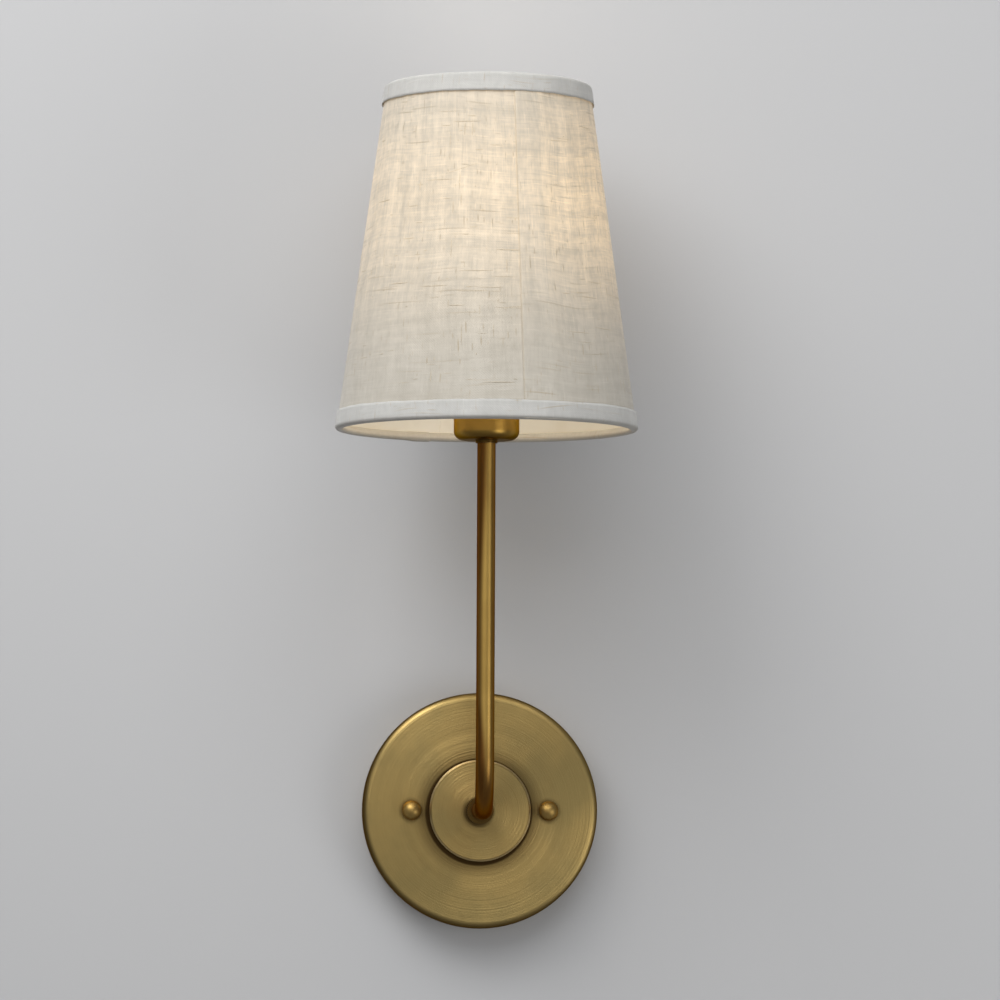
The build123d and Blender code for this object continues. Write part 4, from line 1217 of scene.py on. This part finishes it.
def stage_finish(name, color, see_through_back):
    finish = Finish(name)
    finish.set(Base_Color=color, Roughness=0.9, Specular_IOR_Level=0.1)
    if see_through_back:
        behind = finish.node("ShaderNodeNewGeometry", None, None, output="Backfacing")
        seen = finish.node("ShaderNodeLightPath", None, None, output="Is Camera Ray")
        clear = finish.node("ShaderNodeBsdfTransparent", None, {0: CLEAR})
        painted = Number(finish, finish.shader.outputs[0])
        mixed = finish.node("ShaderNodeMixShader", None, {0: behind * seen, 1: painted, 2: clear})
        finish.plug(mixed, finish.tree.nodes["Material Output"].inputs["Surface"])
    return finish.material


def wall_mesh():
    """Plane at the plate's back with a round hole, made as a band from the hole to the edge."""
    vertices = []
    for number in range(HOLE_SIDES):
        angle = 2 * math.pi * number / HOLE_SIDES
        across, up = math.cos(angle), math.sin(angle)
        reach = WALL_HALF / max(abs(across), abs(up))
        vertices.append((BOX_HOLE_RADIUS * across, WALL_GAP, BOX_HOLE_RADIUS * up))
        vertices.append((reach * across, WALL_GAP, reach * up))
    faces = []
    for number in range(HOLE_SIDES):
        here, there = 2 * number, 2 * ((number + 1) % HOLE_SIDES)
        faces.append((here, here + 1, there + 1, there))
    mesh = bpy.data.meshes.new("wall")
    mesh.from_pydata(vertices, [], faces)
    return mesh


def floor_mesh():
    corners = ((-1, -1), (1, -1), (1, 1), (-1, 1))
    vertices = [(x * FLOOR_HALF, y * FLOOR_HALF, FLOOR_HEIGHT) for x, y in corners]
    mesh = bpy.data.meshes.new("floor")
    mesh.from_pydata(vertices, [], [(0, 1, 2, 3)])
    return mesh


wall = bpy.data.objects.new("wall", wall_mesh())
wall.data.materials.append(stage_finish("wall_paint", WALL_COLOR, True))
floor = bpy.data.objects.new("floor", floor_mesh())
floor.data.materials.append(stage_finish("floor_paint", FLOOR_COLOR, False))
for flat_piece in (wall, floor):
    bpy.context.scene.collection.objects.link(flat_piece)
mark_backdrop(wall, floor)
print("wall face points out:", wall.data.polygons[0].normal.y < 0)

# %% [markdown]
# ## Light
# One large soft lamp stands in front of the wall, up and to the left, so the shadow of the shade
# falls down to the right and has no edge. A smaller one beside it, like a window, gives the
# plate and the tube a clear highlight. A third stands low on the right and lights the right side
# of the tube and the cup. The room is brightest in front of the wall and dim at the sides, which
# metal needs: a tube in an evenly lit room has no shape. It is bright again behind the wall,
# which blocks that light from the front, so the pieces behind the plate are lit in views from
# behind.

# %% Lamps and world
SCENE_MIDDLE = Vector((0.0, -0.06, 0.16))
ROOM_COLOR = shades(0.98, 0.99, 1.0)
ROOM_TOWARDS = Vector((-0.22, -0.95, 0.30)).normalized()
BEHIND_WALL = (0.0, 1.0, 0.0)
ROOM_SIDES = 0.17
ROOM_FRONT = 0.43
ROOM_BEHIND = 0.60


def area_lamp(name, towards, distance, size, power):
    data = bpy.data.lights.new(name, "AREA")
    data.shape = "ELLIPSE"
    data.size, data.size_y = size
    data.energy = power
    lamp = bpy.data.objects.new(name, data)
    away = Vector(towards).normalized()
    lamp.location = SCENE_MIDDLE + away * distance
    lamp.rotation_mode = "QUATERNION"
    lamp.rotation_quaternion = away.to_track_quat("Z", "Y")
    bpy.context.scene.collection.objects.link(lamp)
    print(name, "lamp:", power, "W at", [round(value, 2) for value in lamp.location])


def facing(room, direction, towards):
    """How squarely a direction faces another, and 0 where it looks away."""
    cosine = room.vector("DOT_PRODUCT", direction, towards, output="Value")
    return cosine.math("MAXIMUM", 0.0)


area_lamp("key", towards=(-0.30, -0.88, 1.0), distance=1.45, size=(2.4, 1.9), power=18.0)
area_lamp("window", towards=(-0.56, -0.80, 0.92), distance=1.40, size=(0.6, 0.8), power=5.8)
area_lamp("strip", towards=(0.88, -0.85, -0.42), distance=1.50, size=(0.76, 1.05), power=4.2)

world = bpy.data.worlds.new("room")
world.use_nodes = True
bpy.context.scene.world = world
background = world.node_tree.nodes["Background"]
background.inputs["Color"].default_value = ROOM_COLOR
room = Graph(world.node_tree)
direction = room.node("ShaderNodeTexCoord", None, None, output="Generated")
front = facing(room, direction, ROOM_TOWARDS[:]) ** 3 * ROOM_FRONT
behind = facing(room, direction, BEHIND_WALL) * ROOM_BEHIND
room.plug(front + behind + ROOM_SIDES, background.inputs["Strength"])
bpy.context.scene.view_settings.view_transform = "Standard"
print("room from", ROOM_SIDES, "at the sides to", ROOM_SIDES + ROOM_FRONT, "in front")

# %% Growth of the dressed object over the solids
dressed_box = [list(corner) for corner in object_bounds()]
growth = [[round((after - before) / MM, 2) for before, after in zip(*pair)]
          for pair in zip(solid_box, dressed_box)]
print("growth in mm:", growth)
